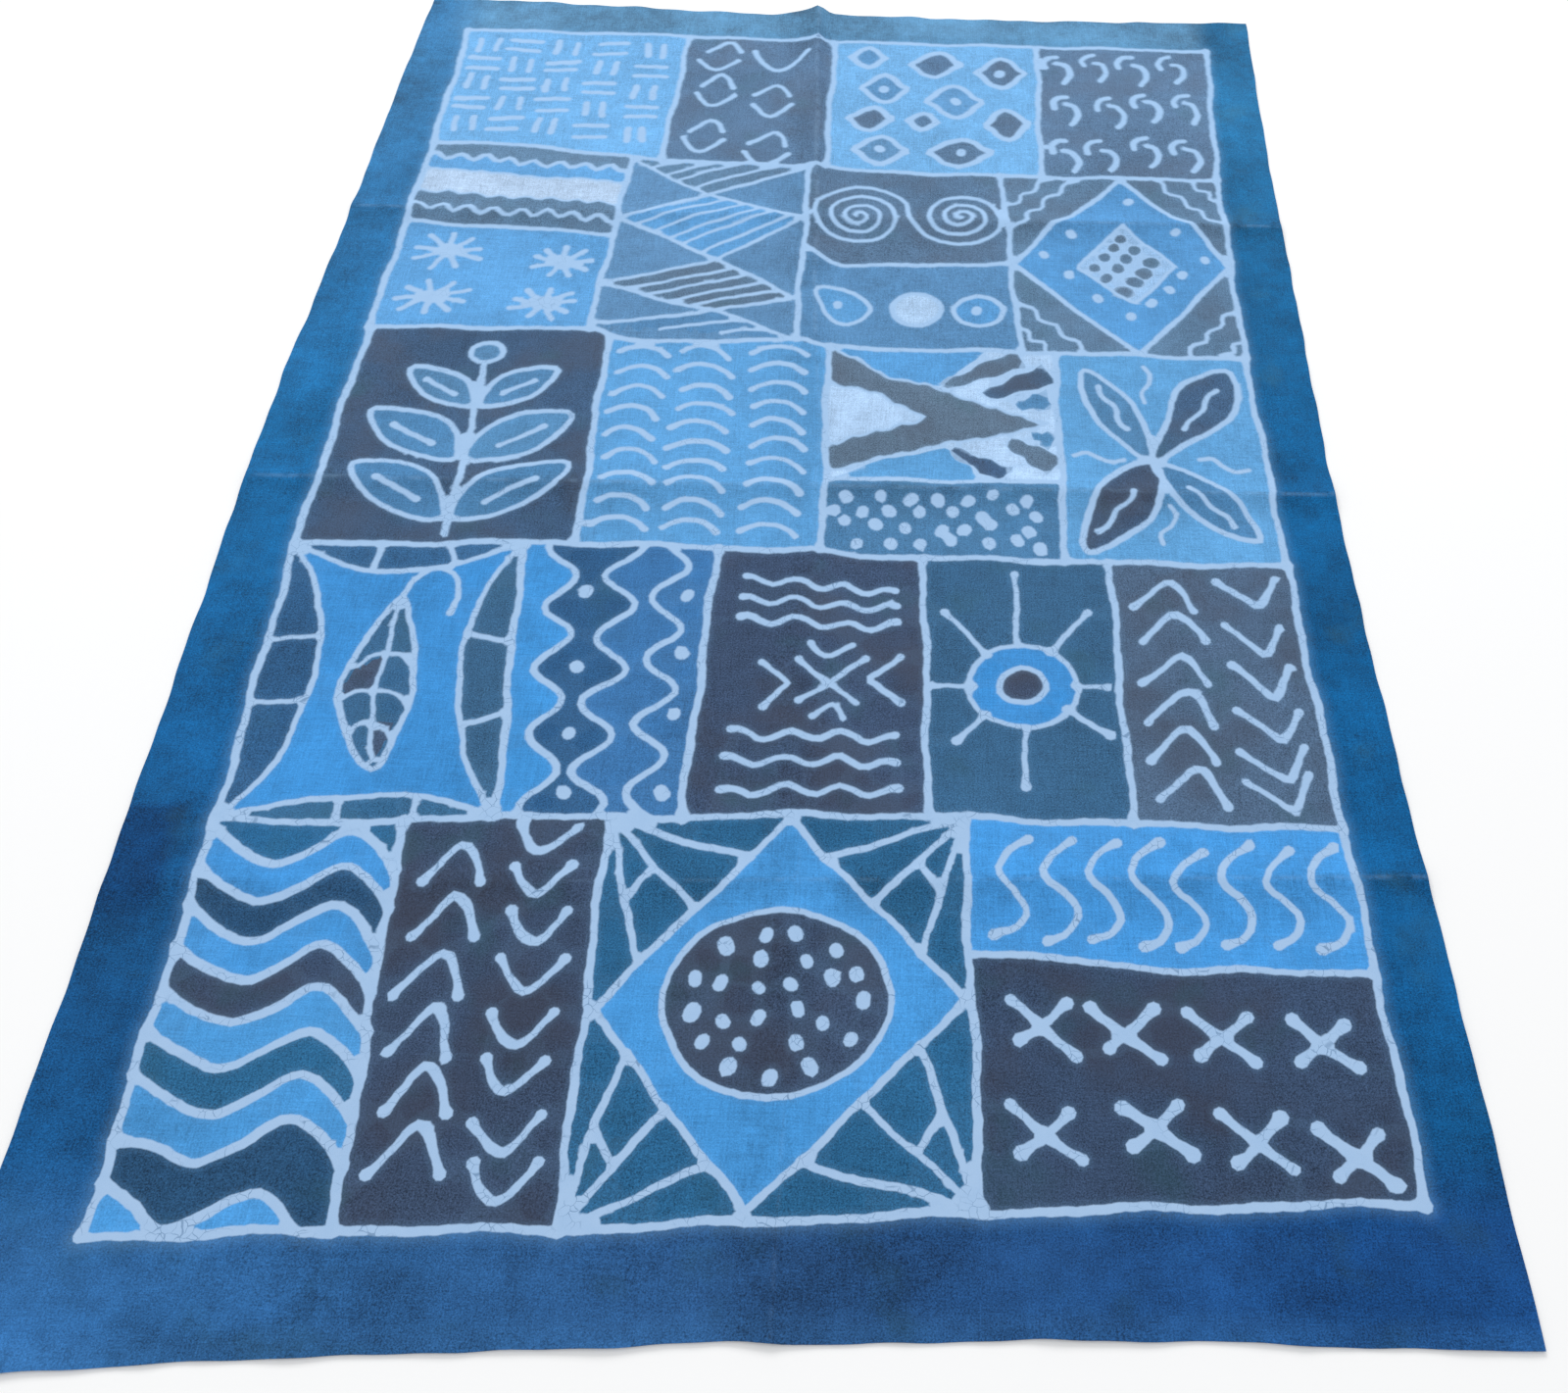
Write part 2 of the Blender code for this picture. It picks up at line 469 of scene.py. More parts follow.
WRIGGLE = ((-0.5, 0.1), (-0.25, 0.45), (0.05, -0.25), (0.3, -0.45), (0.5, -0.1))
FINE = 0.0072  # width of the brush for small shapes
BROAD = 0.0095  # and where the wax ran a little
THIN = 0.0056  # and for hatching and veins


def column_of(shape, field, across, heights, size, width=FINE, drop=0.5, press=None):
    """Repeats a shape up a panel."""
    for along in heights:
        wax(placed(shape, field.spot(across, along), size), width=width, drop=drop, press=press)


def cross(centre, size, second_size, width=FINE):
    """Two short strokes that cross."""
    wax(placed(SLASH, centre, size), width=width, drop=0.5, press=0.5)
    wax(placed(BACKSLASH, centre, second_size), width=width, drop=0.6)


def star(centre, wide, high, rays, width=FINE):
    """Short rays from a wax centre, reaching out by the two radii given."""
    start = hand.uniform(0.0, 0.4)
    for ray in range(rays):
        angle = start + 2 * math.pi * ray / rays + hand.uniform(-0.08, 0.08)
        reach = np.array([wide * math.cos(angle), high * math.sin(angle)])
        tip = centre + reach * hand.uniform(0.88, 1.06)
        wax([centre, tip], width=width, curved=False, drop=0.2)


print("small shapes are brushed", FINE * 1000, "mm wide")

# %% [markdown]
# ## Near row: wavy bands
#
# Nine wavy lines cross the panel and the bands between them are dyed light and dark in
# turn. One wave is drawn, then let down by the same step each time. The lowest wave has
# a swing of its own, since the hand had to follow the frame there.

# %% Wavy bands
LET_DOWN = 0.1045
WAVE = ((0.0, 0.0), (0.17, -0.055), (0.37, -0.093), (0.54, -0.055), (0.72, 0.0),
        (0.86, -0.035), (1.0, -0.115))
LAST_WAVE = ((0.0, 0.104), (0.17, 0.060), (0.29, 0.011), (0.48, 0.050), (0.66, 0.080),
             (0.78, 0.045), (0.85, 0.0), (1.0, 0.0))
BAND_DYES = ("light", "deep", "light", "charcoal", "light", "teal", "light", "deep", "light")
bands = panel(0, 0)
dye(bands.outline(), "teal")
wave_lines = []
for step in range(8):
    lift = 0.975 - LET_DOWN * step
    wave = [(across, lift + drop) for across, drop in WAVE]
    if step == 7:
        wave[0] = (0.0, lift - 0.045)
    wave_lines.append(rounded(bands.spots(wave)))
wave_lines.append(rounded(bands.spots(LAST_WAVE)))
for line, below, band_dye in zip(wave_lines, wave_lines[1:] + [bands.near], BAND_DYES):
    dye(np.vstack([line, below[::-1]]), band_dye)
    wax(line, width=0.0098, curved=False, drop=0.4)

# %% [markdown]
# ## Near row: chevrons, and crosses under a line of snakes
#
# Chevrons point up in the left column and down in the right one. The last panel of the
# row is split: eight snaking strokes on light blue, and two rows of crosses on
# charcoal.

# %% Chevrons, snakes and crosses
chevrons = panel(0, 1)
dye(chevrons.outline(), "charcoal")
column_of(CHEVRON, chevrons, 0.275, (0.87, 0.725, 0.58, 0.44, 0.30, 0.165), (0.066, 0.052),
          width=0.0076, drop=0.7, press=0.6)
column_of(TICK, chevrons, 0.72, (0.935, 0.82, 0.705, 0.58, 0.455, 0.34, 0.205, 0.10),
          (0.064, 0.040), width=0.0076, drop=0.7, press=0.4)

crosses, snakes = panel(0, 3).split(((0.0, 0.625), (0.5, 0.58), (1.0, 0.58)))
dye(crosses.outline(), "charcoal")
dye(snakes.outline(), "light")
for count in range(8):
    wax(placed(SNAKE, snakes.spot(0.118 + 0.1145 * count, 0.50), (0.048, 0.122)),
        width=0.0084, drop=0.6)
CrossRow = namedtuple("CrossRow", "across along")
CROSS_SPOTS = (
    CrossRow(0.165, 0.70), CrossRow(0.375, 0.71), CrossRow(0.595, 0.685), CrossRow(0.835, 0.675),
    CrossRow(0.150, 0.29), CrossRow(0.410, 0.30), CrossRow(0.645, 0.26), CrossRow(0.870, 0.19),
)
for place in CROSS_SPOTS:
    cross(crosses.spot(*place), (0.066, 0.056), (0.048, 0.048), width=0.0100)

# %% [markdown]
# ## Near row: a dotted disc in a lozenge
#
# A large light-blue lozenge touches the middle of each side and holds a dark disc of
# dots. From each corner of the panel three rays fan out to the lozenge, and a short bar
# ties two of them. One corner is described, and the loop mirrors it to the other three.

# %% Fans and lozenge
CORNERS = ((1.0, 1.0), (1.0, 0.0), (0.0, 0.0), (0.0, 1.0))  # a panel's, from the far right one
DIAMOND = ((0.51, 0.985), (0.985, 0.50), (0.44, 0.02), (0.015, 0.49))
DIAMOND_SIDES = ((0, 1), (2, 1), (2, 3), (0, 3))  # the lozenge's points beside each corner
FAN = (0.22, 0.50, 0.77)  # where the rays meet the lozenge, by share of its side
FAN_WIDTH = 0.0078
BAR_REACH = 0.52  # where the bar ties two rays, by share of their length
BAR_SLANT = 0.05
disc_panel = panel(0, 2)
dye(disc_panel.outline(), "teal")
diamond = disc_panel.spots(DIAMOND)
for corner, (first, second) in zip(CORNERS, DIAMOND_SIDES):
    root = disc_panel.spot(*corner)
    tips = [diamond[first] * (1 - share) + diamond[second] * share for share in FAN]
    for tip in tips:
        wax([root, tip], width=FAN_WIDTH, curved=False, drop=0.4)
    bar = [root + (tips[1] - root) * BAR_REACH, root + (tips[2] - root) * (BAR_REACH + BAR_SLANT)]
    wax(bar, width=FAN_WIDTH, curved=False)
wax(diamond, closed=True, curved=False, fill="light")
print(len(CORNERS) * len(FAN), "rays")

# %% Dotted disc
disc = disc_panel.spot(0.49, 0.50)
wax(ring(disc, 0.117, 0.107, 22), width=FINE, closed=True, fill="charcoal")
DotRing = namedtuple("DotRing", "radius count dot")
for dot_ring in (DotRing(0.091, 13, 0.0085), DotRing(0.059, 8, 0.0080), DotRing(0.026, 4, 0.0074)):
    for turn in range(dot_ring.count):
        angle = 2 * math.pi * (turn + 0.35 * hand.random()) / dot_ring.count + dot_ring.radius * 30
        away = dot_ring.radius * hand.uniform(0.93, 1.03)
        dot(disc + away * np.array([math.cos(angle), 0.92 * math.sin(angle)]), dot_ring.dot)

# %% [markdown]
# ## Second row: a leaf in a bowed frame
#
# Four bowed lines leave a light-blue field with hollow sides. The four slivers outside
# it are cut into cells by short bars. In the middle stands a leaf with its veins and a
# curled stalk.

# %% The bowed frame
leaf_panel = panel(1, 0)
dye(leaf_panel.outline(), "light")
BOWS = (
    ((0.02, 0.99), (0.25, 0.91), (0.50, 0.89), (0.75, 0.92), (0.98, 0.99)),
    ((0.98, 0.99), (0.85, 0.78), (0.80, 0.50), (0.85, 0.22), (0.98, 0.01)),
    ((0.98, 0.01), (0.75, 0.07), (0.50, 0.085), (0.25, 0.06), (0.02, 0.01)),
    ((0.02, 0.01), (0.17, 0.22), (0.225, 0.50), (0.16, 0.78), (0.02, 0.99)),
)
EDGE_POINTS = (((0.38, 1.0), (0.68, 1.0)), ((1.0, 0.61), (1.0, 0.345)),
               ((0.70, 0.0), (0.43, 0.0)), ((0.0, 0.40), (0.0, 0.62)))
SLIVER_DYES = ("deep", "teal", "teal", "deep")
for bow, edge_points, sliver_dye in zip(BOWS, EDGE_POINTS, SLIVER_DYES):
    curve = rounded(leaf_panel.spots(bow))
    frame_side = leaf_panel.side(np.round(bow[-1]), np.round(bow[0]))  # corner to corner
    dye(np.vstack([curve, frame_side]), sliver_dye)
    wax(curve, width=FINE, curved=False)
    for edge_share in edge_points:
        foot = leaf_panel.spot(*edge_share)
        nearest = curve[np.argmin(np.hypot(*(curve - foot).T))]
        wax([foot, nearest], width=FINE, curved=False)
print(len(BOWS), "bowed lines")

# %% The leaf
LEAF = ((0.06, 0.55), (0.34, 0.30), (0.50, 0.0), (0.50, -0.22), (0.32, -0.5),
        (-0.14, -0.34), (-0.46, -0.10), (-0.48, 0.10), (-0.24, 0.34))
leaf = leaf_panel.spot(0.475, 0.465)
leaf_size = np.array([0.082, 0.245])
wax(leaf + np.array(LEAF) * leaf_size, width=FINE, closed=True, fill="teal")
DARK_CELLS = (((0.0, 0.16), (-0.40, 0.08), (-0.46, -0.10), (-0.02, -0.04)),
              ((0.10, -0.24), (0.44, -0.22), (0.30, -0.44), (0.22, -0.44)))
for dark_cell in DARK_CELLS:
    dye(leaf + np.array(dark_cell) * leaf_size, "charcoal")
MIDRIB = ((0.05, 0.51), (0.0, 0.0), (0.10, -0.24), (0.26, -0.45))
wax(leaf + np.array(MIDRIB) * leaf_size, width=THIN)
Vein = namedtuple("Vein", "height left right")
for vein in (Vein(0.17, -0.36, 0.42), Vein(-0.05, -0.42, 0.46), Vein(-0.24, -0.16, 0.44)):
    for side in (vein.left, vein.right):
        reach = [(0.02, vein.height), (side * 0.6, vein.height - 0.01), (side, vein.height - 0.07)]
        wax(leaf + np.array(reach) * leaf_size, width=THIN)
STALK = ((0.04, 0.53), (0.16, 0.66), (0.44, 0.74), (0.74, 0.68), (0.88, 0.55), (0.82, 0.43))
wax(leaf + np.array(STALK) * leaf_size, width=FINE, drop=0.4)
print("leaf", leaf_size, "m")

# %% [markdown]
# ## Second row: upright waves, and broken lines about a cross
#
# Three upright wavy lines part four strips of different blues, two of them dotted. The
# dark panel beside them has three ripples above and three below a cross of chevrons.

# %% Upright waves
waves_panel = panel(1, 1)
dye(waves_panel.outline(), "navy")
dye(waves_panel.spots(((0.0, 0.0), (0.22, 0.0), (0.22, 1.0), (0.0, 1.0))), "light")
upright = []
Upright = namedtuple("Upright", "foot head sway phase")
for wave in (Upright(0.21, 0.215, 0.018, 0.12), Upright(0.46, 0.54, 0.021, 0.60),
             Upright(0.775, 0.785, 0.021, -0.09)):
    foot, head = waves_panel.spot(wave.foot, 0.0), waves_panel.spot(wave.head, 1.0)
    upright.append(rounded(ripple(foot, head, 4.2, wave.sway, phase=wave.phase)))
left_strip = np.vstack([upright[0], waves_panel.spot(0.0, 1.0), waves_panel.spot(0.0, 0.0)])
dye(np.vstack([upright[0], upright[1][::-1]]), "deep")
dye(left_strip, "light")
for line in upright:
    wax(line, curved=False)
for across, heights in ((0.35, (0.80, 0.51, 0.28, 0.08)), (0.885, (0.80, 0.58, 0.35, 0.08))):
    for along in heights:
        dot(waves_panel.spot(across, along), 0.0085)
print(len(upright), "upright waves")

# %% Ripples about a cross
lines_panel = panel(1, 2)
dye(lines_panel.outline(), "charcoal")
for along in (0.865, 0.785, 0.705, 0.285, 0.185, 0.085):
    start = lines_panel.spot(0.15, along + hand.uniform(0.0, 0.01))
    end = lines_panel.spot(0.87, along - hand.uniform(0.0, 0.02))
    wax(ripple(start, end, 3.2, 0.0065, phase=hand.uniform(0.0, 0.2)), width=0.0082, drop=0.4)
centre = lines_panel.spot(0.575, 0.475)
cross(centre, (0.078, 0.070), (0.076, 0.070), width=0.0068)
wax(placed(TICK, centre + np.array([-0.004, 0.050]), (0.052, 0.020)), width=FINE, drop=0.3)
wax(placed(CHEVRON, centre + np.array([0.003, -0.045]), (0.040, 0.024)), width=FINE, drop=0.3)
SIDE_CHEVRON = ((-0.5, 0.5), (0.3, 0.12), (0.45, 0.0), (0.2, -0.14), (-0.5, -0.5))
for side in (-1, 1):
    shape = np.array(SIDE_CHEVRON) * (-side, 1)
    wax(placed(shape, centre + np.array([side * 0.064, 0.0]), (0.036, 0.066)),
        width=0.0076, drop=0.4)
print(len(strokes), "wax lines so far")

# %% [markdown]
# ## Second row: a rayed ring, and chevrons again
#
# The ring is two circles, one inside the other, with eight rays that each end in a
# drop.

# %% Rayed ring and chevrons
ring_panel = panel(1, 3)
dye(ring_panel.outline(), "teal")
hub = ring_panel.spot(0.495, 0.485)
Ray = namedtuple("Ray", "degrees reach")
RAYS = (Ray(0, 0.104), Ray(54, 0.142), Ray(92, 0.179), Ray(129, 0.145), Ray(180, 0.112),
        Ray(225, 0.112), Ray(270, 0.146), Ray(325, 0.123))
for ray in RAYS:
    angle = math.radians(ray.degrees)
    away = np.array([math.cos(angle), math.sin(angle)])
    wax([hub + 0.064 * away, hub + ray.reach * away], width=0.0068, curved=False, drop=0.9)
wax(ring(hub, 0.068, 0.063), width=FINE, closed=True, fill="light")
wax(ring(hub, 0.030, 0.026, 12), width=FINE, closed=True, fill="charcoal")
print(len(RAYS), "rays on the ring")

chevrons = panel(1, 4)
dye(chevrons.outline(), "grey")
column_of(CHEVRON, chevrons, 0.29, (0.87, 0.73, 0.57, 0.42, 0.28, 0.14), (0.080, 0.050),
          width=0.0080, press=0.6)
column_of(TURNED_TICK, chevrons, 0.73, (0.88, 0.69, 0.53, 0.365, 0.225, 0.12), (0.076, 0.048),
          width=0.0080, press=0.6)

# %% [markdown]
# ## Third row: a sprig, and three columns of arcs
#
# The sprig is a plain plant: a stem, three pairs of leaves and a round head, in
# blue-grey on charcoal. Each leaf is one outline, mirrored to the other side.

# %% Sprig and arcs
sprig_panel = panel(2, 0)
dye(sprig_panel.outline(), "charcoal")
stem_foot = sprig_panel.spot(0.51, 0.04)
PAIRED_LEAF = ((0.0, -0.10), (0.30, -0.12), (0.72, 0.10), (1.0, 0.60), (0.58, 0.62), (0.18, 0.40))
LEAF_VEIN = ((0.30, 0.10), (0.50, 0.24), (0.72, 0.40))
Pair = namedtuple("Pair", "height reach rise")
for pair in (Pair(0.045, 0.138, 0.130), Pair(0.150, 0.132, 0.125), Pair(0.250, 0.100, 0.100)):
    for side in (-1, 1):
        size = np.array([side * pair.reach, pair.rise])
        base = stem_foot + np.array([0.004 * side, pair.height])
        wax(base + np.array(PAIRED_LEAF) * size, width=0.0082, closed=True, fill="teal")
        wax(base + np.array(LEAF_VEIN) * size, width=0.0075, drop=0.35)
wax([stem_foot, stem_foot + (0.006, 0.12), stem_foot + (-0.003, 0.24), stem_foot + (0.0, 0.325)],
    width=BROAD)
wax(ring(stem_foot + np.array([0.0, 0.347]), 0.023, 0.022, 10), closed=True, fill="teal")

arcs = panel(2, 1)
dye(arcs.outline(), "light")
for across, count, size in ((0.165, 9, 0.066), (0.455, 10, 0.074), (0.785, 10, 0.072)):
    heights = [0.95 - 0.90 * (step + 0.1) / (count - 0.5) for step in range(count)]
    column_of(ARC, arcs, across, heights, (size, 0.025), width=0.0086, drop=0.2)
print(len(strokes), "wax lines so far")

# %% [markdown]
# ## Third row: crossing bands over dots
#
# Two dark bands with uneven edges run together at the right. Between their open ends
# the cloth is left undyed, and ragged stripes fill the corners on the right. A narrow
# field of dots lies below.

# %% Field of dots
dots_field, bands_field = panel(2, 2).split(((0.0, 0.325), (1.0, 0.345)))
dye(dots_field.outline(), "teal")
for row, along in enumerate((0.20, 0.39, 0.59, 0.78)):
    for count in range(8):
        across = (count + 0.28 + 0.45 * (row % 2) + hand.uniform(-0.16, 0.16)) / 8.0
        if 0.045 < across < 0.955:
            dot(dots_field.spot(across, along + hand.uniform(-0.05, 0.05)), 0.0090)
print(len(strokes), "wax lines so far")

# %% Crossing bands
LIGHT_ABOVE = ((0.0, 1.0), (0.70, 1.0), (0.66, 0.93), (0.60, 0.86), (0.56, 0.80), (0.49, 0.70),
               (0.25, 0.78))
LIGHT_BELOW = ((0.02, 0.0), (0.20, 0.13), (0.38, 0.19), (0.52, 0.25), (0.58, 0.17), (0.62, 0.12),
               (0.64, 0.05), (0.68, 0.0))
dye(bands_field.outline(), "undyed")
crisp(bands_field.spots(LIGHT_ABOVE), "light")
crisp(bands_field.spots(LIGHT_BELOW), "light")
BAND_TOP = ((0.0, 0.98), (0.13, 0.90), (0.25, 0.79), (0.41, 0.73), (0.60, 0.61), (0.80, 0.52),
            (0.95, 0.44))
BAND_FOOT = ((0.95, 0.44), (0.78, 0.36), (0.57, 0.30), (0.40, 0.22), (0.20, 0.145), (0.0, 0.06))
BAND_FORK = ((0.0, 0.25), (0.14, 0.32), (0.28, 0.385), (0.42, 0.455), (0.31, 0.55), (0.20, 0.66),
             (0.09, 0.695), (0.0, 0.71))
edges_of_band = []
for band in (BAND_TOP, BAND_FOOT, BAND_FORK):
    line = rounded(bands_field.spots(band))
    line[1:-1, 1] += 0.0028 * np.sin(line[1:-1, 0] * 190)
    edges_of_band.append(line)
dye(np.vstack(edges_of_band), "grey")
for line in edges_of_band:
    wax(line, width=0.0045)
print(len(edges_of_band), "edges of the bands")

# %% Ragged stripes
RAGGED_WAVES = 2.2
RAGGED_HEIGHT = 0.0028
Ragged = namedtuple("Ragged", "start end start_width end_width fill")
RAGGED = (
    Ragged((0.50, 0.70), (0.85, 0.945), 0.016, 0.040, "grey"),
    Ragged((0.69, 0.645), (0.975, 0.83), 0.016, 0.046, "charcoal"),
    Ragged((0.82, 0.575), (0.975, 0.62), 0.010, 0.048, "teal"),
    Ragged((0.54, 0.23), (0.77, 0.05), 0.016, 0.034, "charcoal"),
    Ragged((0.77, 0.30), (0.975, 0.12), 0.016, 0.048, "grey"),
    Ragged((0.87, 0.36), (0.975, 0.30), 0.008, 0.040, "teal"),
)
for stripe in RAGGED:
    start, end = bands_field.spot(*stripe.start), bands_field.spot(*stripe.end)
    run = (end - start) / np.hypot(*(end - start))
    side = np.array([-run[1], run[0]]) / 2
    first, last = side * stripe.start_width, side * stripe.end_width
    upper = ripple(start + first, end + last, RAGGED_WAVES, RAGGED_HEIGHT)
    lower = ripple(start - first, end - last, RAGGED_WAVES, RAGGED_HEIGHT, phase=0.3)
    crisp(np.vstack([upper, lower[::-1]]), stripe.fill)
    cell_middles.extend(wander((upper + lower)[1:-1:2] / 2))
print(len(RAGGED), "ragged stripes")

# %% [markdown]
# ## Third row: four petals
#
# Petals lie on the diagonals, two dark and two blue-grey, each with a wavy vein. Short
# wriggles mark the gaps between them.

# %% Petals
petal_panel = panel(2, 3)
dye(petal_panel.outline(), "light")
heart = petal_panel.spot(0.455, 0.46)
PETAL = ((0.0, 0.0), (0.22, 0.30), (0.56, 0.52), (0.84, 0.34), (1.0, 0.02), (0.80, -0.32),
         (0.50, -0.50), (0.20, -0.28))
Petal = namedtuple("Petal", "across along width bulge fill")  # a bulge under 1 lies further out
PETALS = (Petal(0.91, 0.92, 0.090, 0.70, "charcoal"), Petal(0.14, 0.91, 0.058, 1.0, "teal"),
          Petal(0.10, 0.05, 0.085, 1.3, "charcoal"), Petal(0.89, 0.11, 0.066, 1.0, "teal"))
for petal in PETALS:
    run = petal_panel.spot(petal.across, petal.along) - heart
    side = np.array([-run[1], run[0]]) / np.hypot(*run) * petal.width
    shape = np.array(PETAL)
    outline = heart + shape[:, :1] ** petal.bulge * run + shape[:, 1:] * side
    wax(outline, width=0.0088, closed=True, fill=petal.fill)
    wax(ripple(heart + 0.36 * run, heart + 0.80 * run, 1.6, 0.0032), width=0.0072, drop=0.3)
WRIGGLES = ((0.45, 0.84, 90), (0.20, 0.48, 0), (0.79, 0.46, -8), (0.48, 0.17, 80))
for across, along, turn in WRIGGLES:
    wax(placed(WRIGGLE, petal_panel.spot(across, along), (0.070, 0.018), turn), width=0.0068)
print(len(PETALS), "petals and", len(WRIGGLES), "wriggles")

# %% [markdown]
# ## Fourth row: stripes and stars, and hatched lozenges
#
# The stripes are dark, pale and dark again, with scalloped wax between. Below them
# four stars stand on light blue. The next panel is one long zigzag crossed by another,
# so that lozenges hang between them, filled with slanting lines.

# %% Stripes and stars
stars, stripes = panel(3, 0).split(((0.0, 0.54), (1.0, 0.53)))
dye(stars.outline(), "light")
StarRow = namedtuple("StarRow", "across along wide high")
STARS = (StarRow(0.245, 0.735, 0.053, 0.041), StarRow(0.800, 0.680, 0.044, 0.034),
         StarRow(0.240, 0.285, 0.050, 0.038), StarRow(0.757, 0.250, 0.048, 0.035))
for row in STARS:
    star(stars.spot(row.across, row.along), row.wide, row.high, 9, width=0.0082)
Stripe = namedtuple("Stripe", "low dye scallop width")
STRIPES = (Stripe(0.83, "grey", 0.0075, 0.0080), Stripe(0.655, "light", 0.0012, 0.0050),
           Stripe(0.375, "undyed", 0.0038, 0.0040), Stripe(0.18, "grey", 0.0078, 0.0078),
           Stripe(0.0, "grey", 0.0, 0.0))
upper = stripes.far
for stripe in STRIPES:
    start, end = stripes.spot(0.0, stripe.low), stripes.spot(1.0, stripe.low)
    lower = stripes.near
    if stripe.low:
        lower = rounded(ripple(start, end, 8, stripe.scallop, cuts=6))
        wax(lower, width=stripe.width, curved=False)
    dye(np.vstack([lower, upper[::-1]]), stripe.dye)
    upper = lower
print(len(STARS), "stars and", len(STRIPES), "stripes")

# %% Hatched lozenges
hatched = panel(3, 1)
dye(hatched.outline(), "teal")
knots = {"C1": (0.45, 0.80), "C2": (0.56, 0.44), "C3": (0.58, 0.16),
         "L0": (0.0, 0.985), "L1": (0.01, 0.625), "L2": (0.01, 0.245), "L3": (0.0, 0.03),
         "R0": (0.98, 0.985), "R1": (0.985, 0.675), "R2": (0.98, 0.215), "R3": (1.0, 0.0)}
knots = {name: hatched.spot(*share) for name, share in knots.items()}
Hatch = namedtuple("Hatch", "sides fill lines")
HATCHES = (Hatch(("L0", "C1", "R0", "L0"), "grey", 4), Hatch(("L1", "C2", "R1", "C1"), "light", 5),
           Hatch(("L2", "C3", "R2", "C2"), "grey", 4), Hatch(("L3", "R3", "R3", "C3"), "teal", 2))
for hatch in HATCHES:
    low_left, low_right, high_right, high_left = (knots[name] for name in hatch.sides)
    dye(np.array([low_left, low_right, high_right, high_left]), hatch.fill)
    for step in range(1, hatch.lines + 1):
        share = (step + hand.uniform(-0.12, 0.12)) / (hatch.lines + 1)
        foot = low_left + (low_right - low_left) * share
        head = high_left + (high_right - high_left) * min(1.0, share + 0.04)
        wax(rounded([foot, (foot + head) / 2 + (0.0, 0.003), head]), width=0.0062)
ZIGZAGS = (("L0", "C1", "R1", "C2", "L2", "C3", "R3"), ("R0", "C1", "L1", "C2", "R2", "C3", "L3"))
for zigzag in ZIGZAGS:
    wax([knots[name] for name in zigzag], width=FINE, curved=False)
print(len(HATCHES), "hatched fields")

# %% [markdown]
# ## Fourth row: spirals over ovals
#
# Each spiral is a circle whose radius shrinks as it turns. The two meet between their
# outer turns, so that they read as one line.

# %% Spirals
PARTING_LINE = ((0.0, 0.51), (0.09, 0.46), (0.18, 0.44), (0.6, 0.45), (1.0, 0.48))
SPIRAL_POINTS = 52
ovals, spirals = panel(3, 2).split(PARTING_LINE)
dye(spirals.outline(), "charcoal")
dye(ovals.outline(), "teal")
Spiral = namedtuple("Spiral", "across along radius start turns")
meeting = spirals.spot(0.525, 0.51)
for coil in (Spiral(0.285, 0.50, 0.078, 28.0, 3.4), Spiral(0.775, 0.50, 0.070, 205.0, 3.2)):
    middle = spirals.spot(coil.across, coil.along)
    share = np.linspace(0.0, 1.0, SPIRAL_POINTS)[:, None]
    angle = math.radians(coil.start) + 2 * math.pi * coil.turns * share
    reach = coil.radius * (0.08 + 0.92 * (1.0 - share) ** 1.2)
    path = middle + reach * np.hstack([1.03 * np.cos(angle), 0.98 * np.sin(angle)])
    wax(rounded(np.vstack([meeting[None], path]), cuts=4), width=FINE, curved=False)
print(SPIRAL_POINTS, "points in a spiral")

# %% Ovals
OVAL_WIDTH = 0.0078
TEARDROP = ((-0.038, 0.033), (-0.019, 0.043), (0.019, 0.026), (0.044, -0.004), (0.031, -0.033),
            (0.0, -0.042), (-0.021, -0.015))
drop_middle, pale_middle, oval_middle = (
    ovals.spot(*share) for share in ((0.215, 0.49), (0.55, 0.47), (0.825, 0.45)))
wax(drop_middle + np.array(TEARDROP), width=OVAL_WIDTH, closed=True, fill="light")
for middle, fill in ((pale_middle, "undyed"), (oval_middle, "light")):
    wax(ring(middle, 0.036, 0.034, 12), width=OVAL_WIDTH, closed=True, fill=fill)
for middle in (drop_middle, oval_middle):
    dot(middle + (-0.003, 0.002), 0.0078)
print(len(strokes), "wax lines so far")

# %% [markdown]
# ## Fourth row: a dotted lozenge
#
# The small grid in the middle is a pale lozenge with dark cells left in it. Dots ring
# it, and ripples follow the lozenge's sides in the four dark corners.

# %% Ripples in the corners
lozenge_panel = panel(3, 3)
dye(lozenge_panel.outline(), "grey")
BIG_LOZENGE = ((0.52, 0.985), (0.99, 0.48), (0.53, 0.0), (0.01, 0.47))
PULLS = ((0.40, 0.72), (0.43, 0.78), (0.40, 0.74), (0.36, 0.60))  # ripples in each corner
big = lozenge_panel.spots(BIG_LOZENGE)
for corner, first, second, pulls in zip(CORNERS, big, np.roll(big, -1, axis=0), PULLS):
    outer = lozenge_panel.spot(*corner)
    for pull in pulls:
        start = first + (outer - first) * pull
        end = second + (outer - second) * pull
        waves = 4.2 * (1.0 - pull) + 1.0
        wax(ripple(start, end, waves, 0.0055), width=0.0066)
print(len(PULLS), "rippled corners")

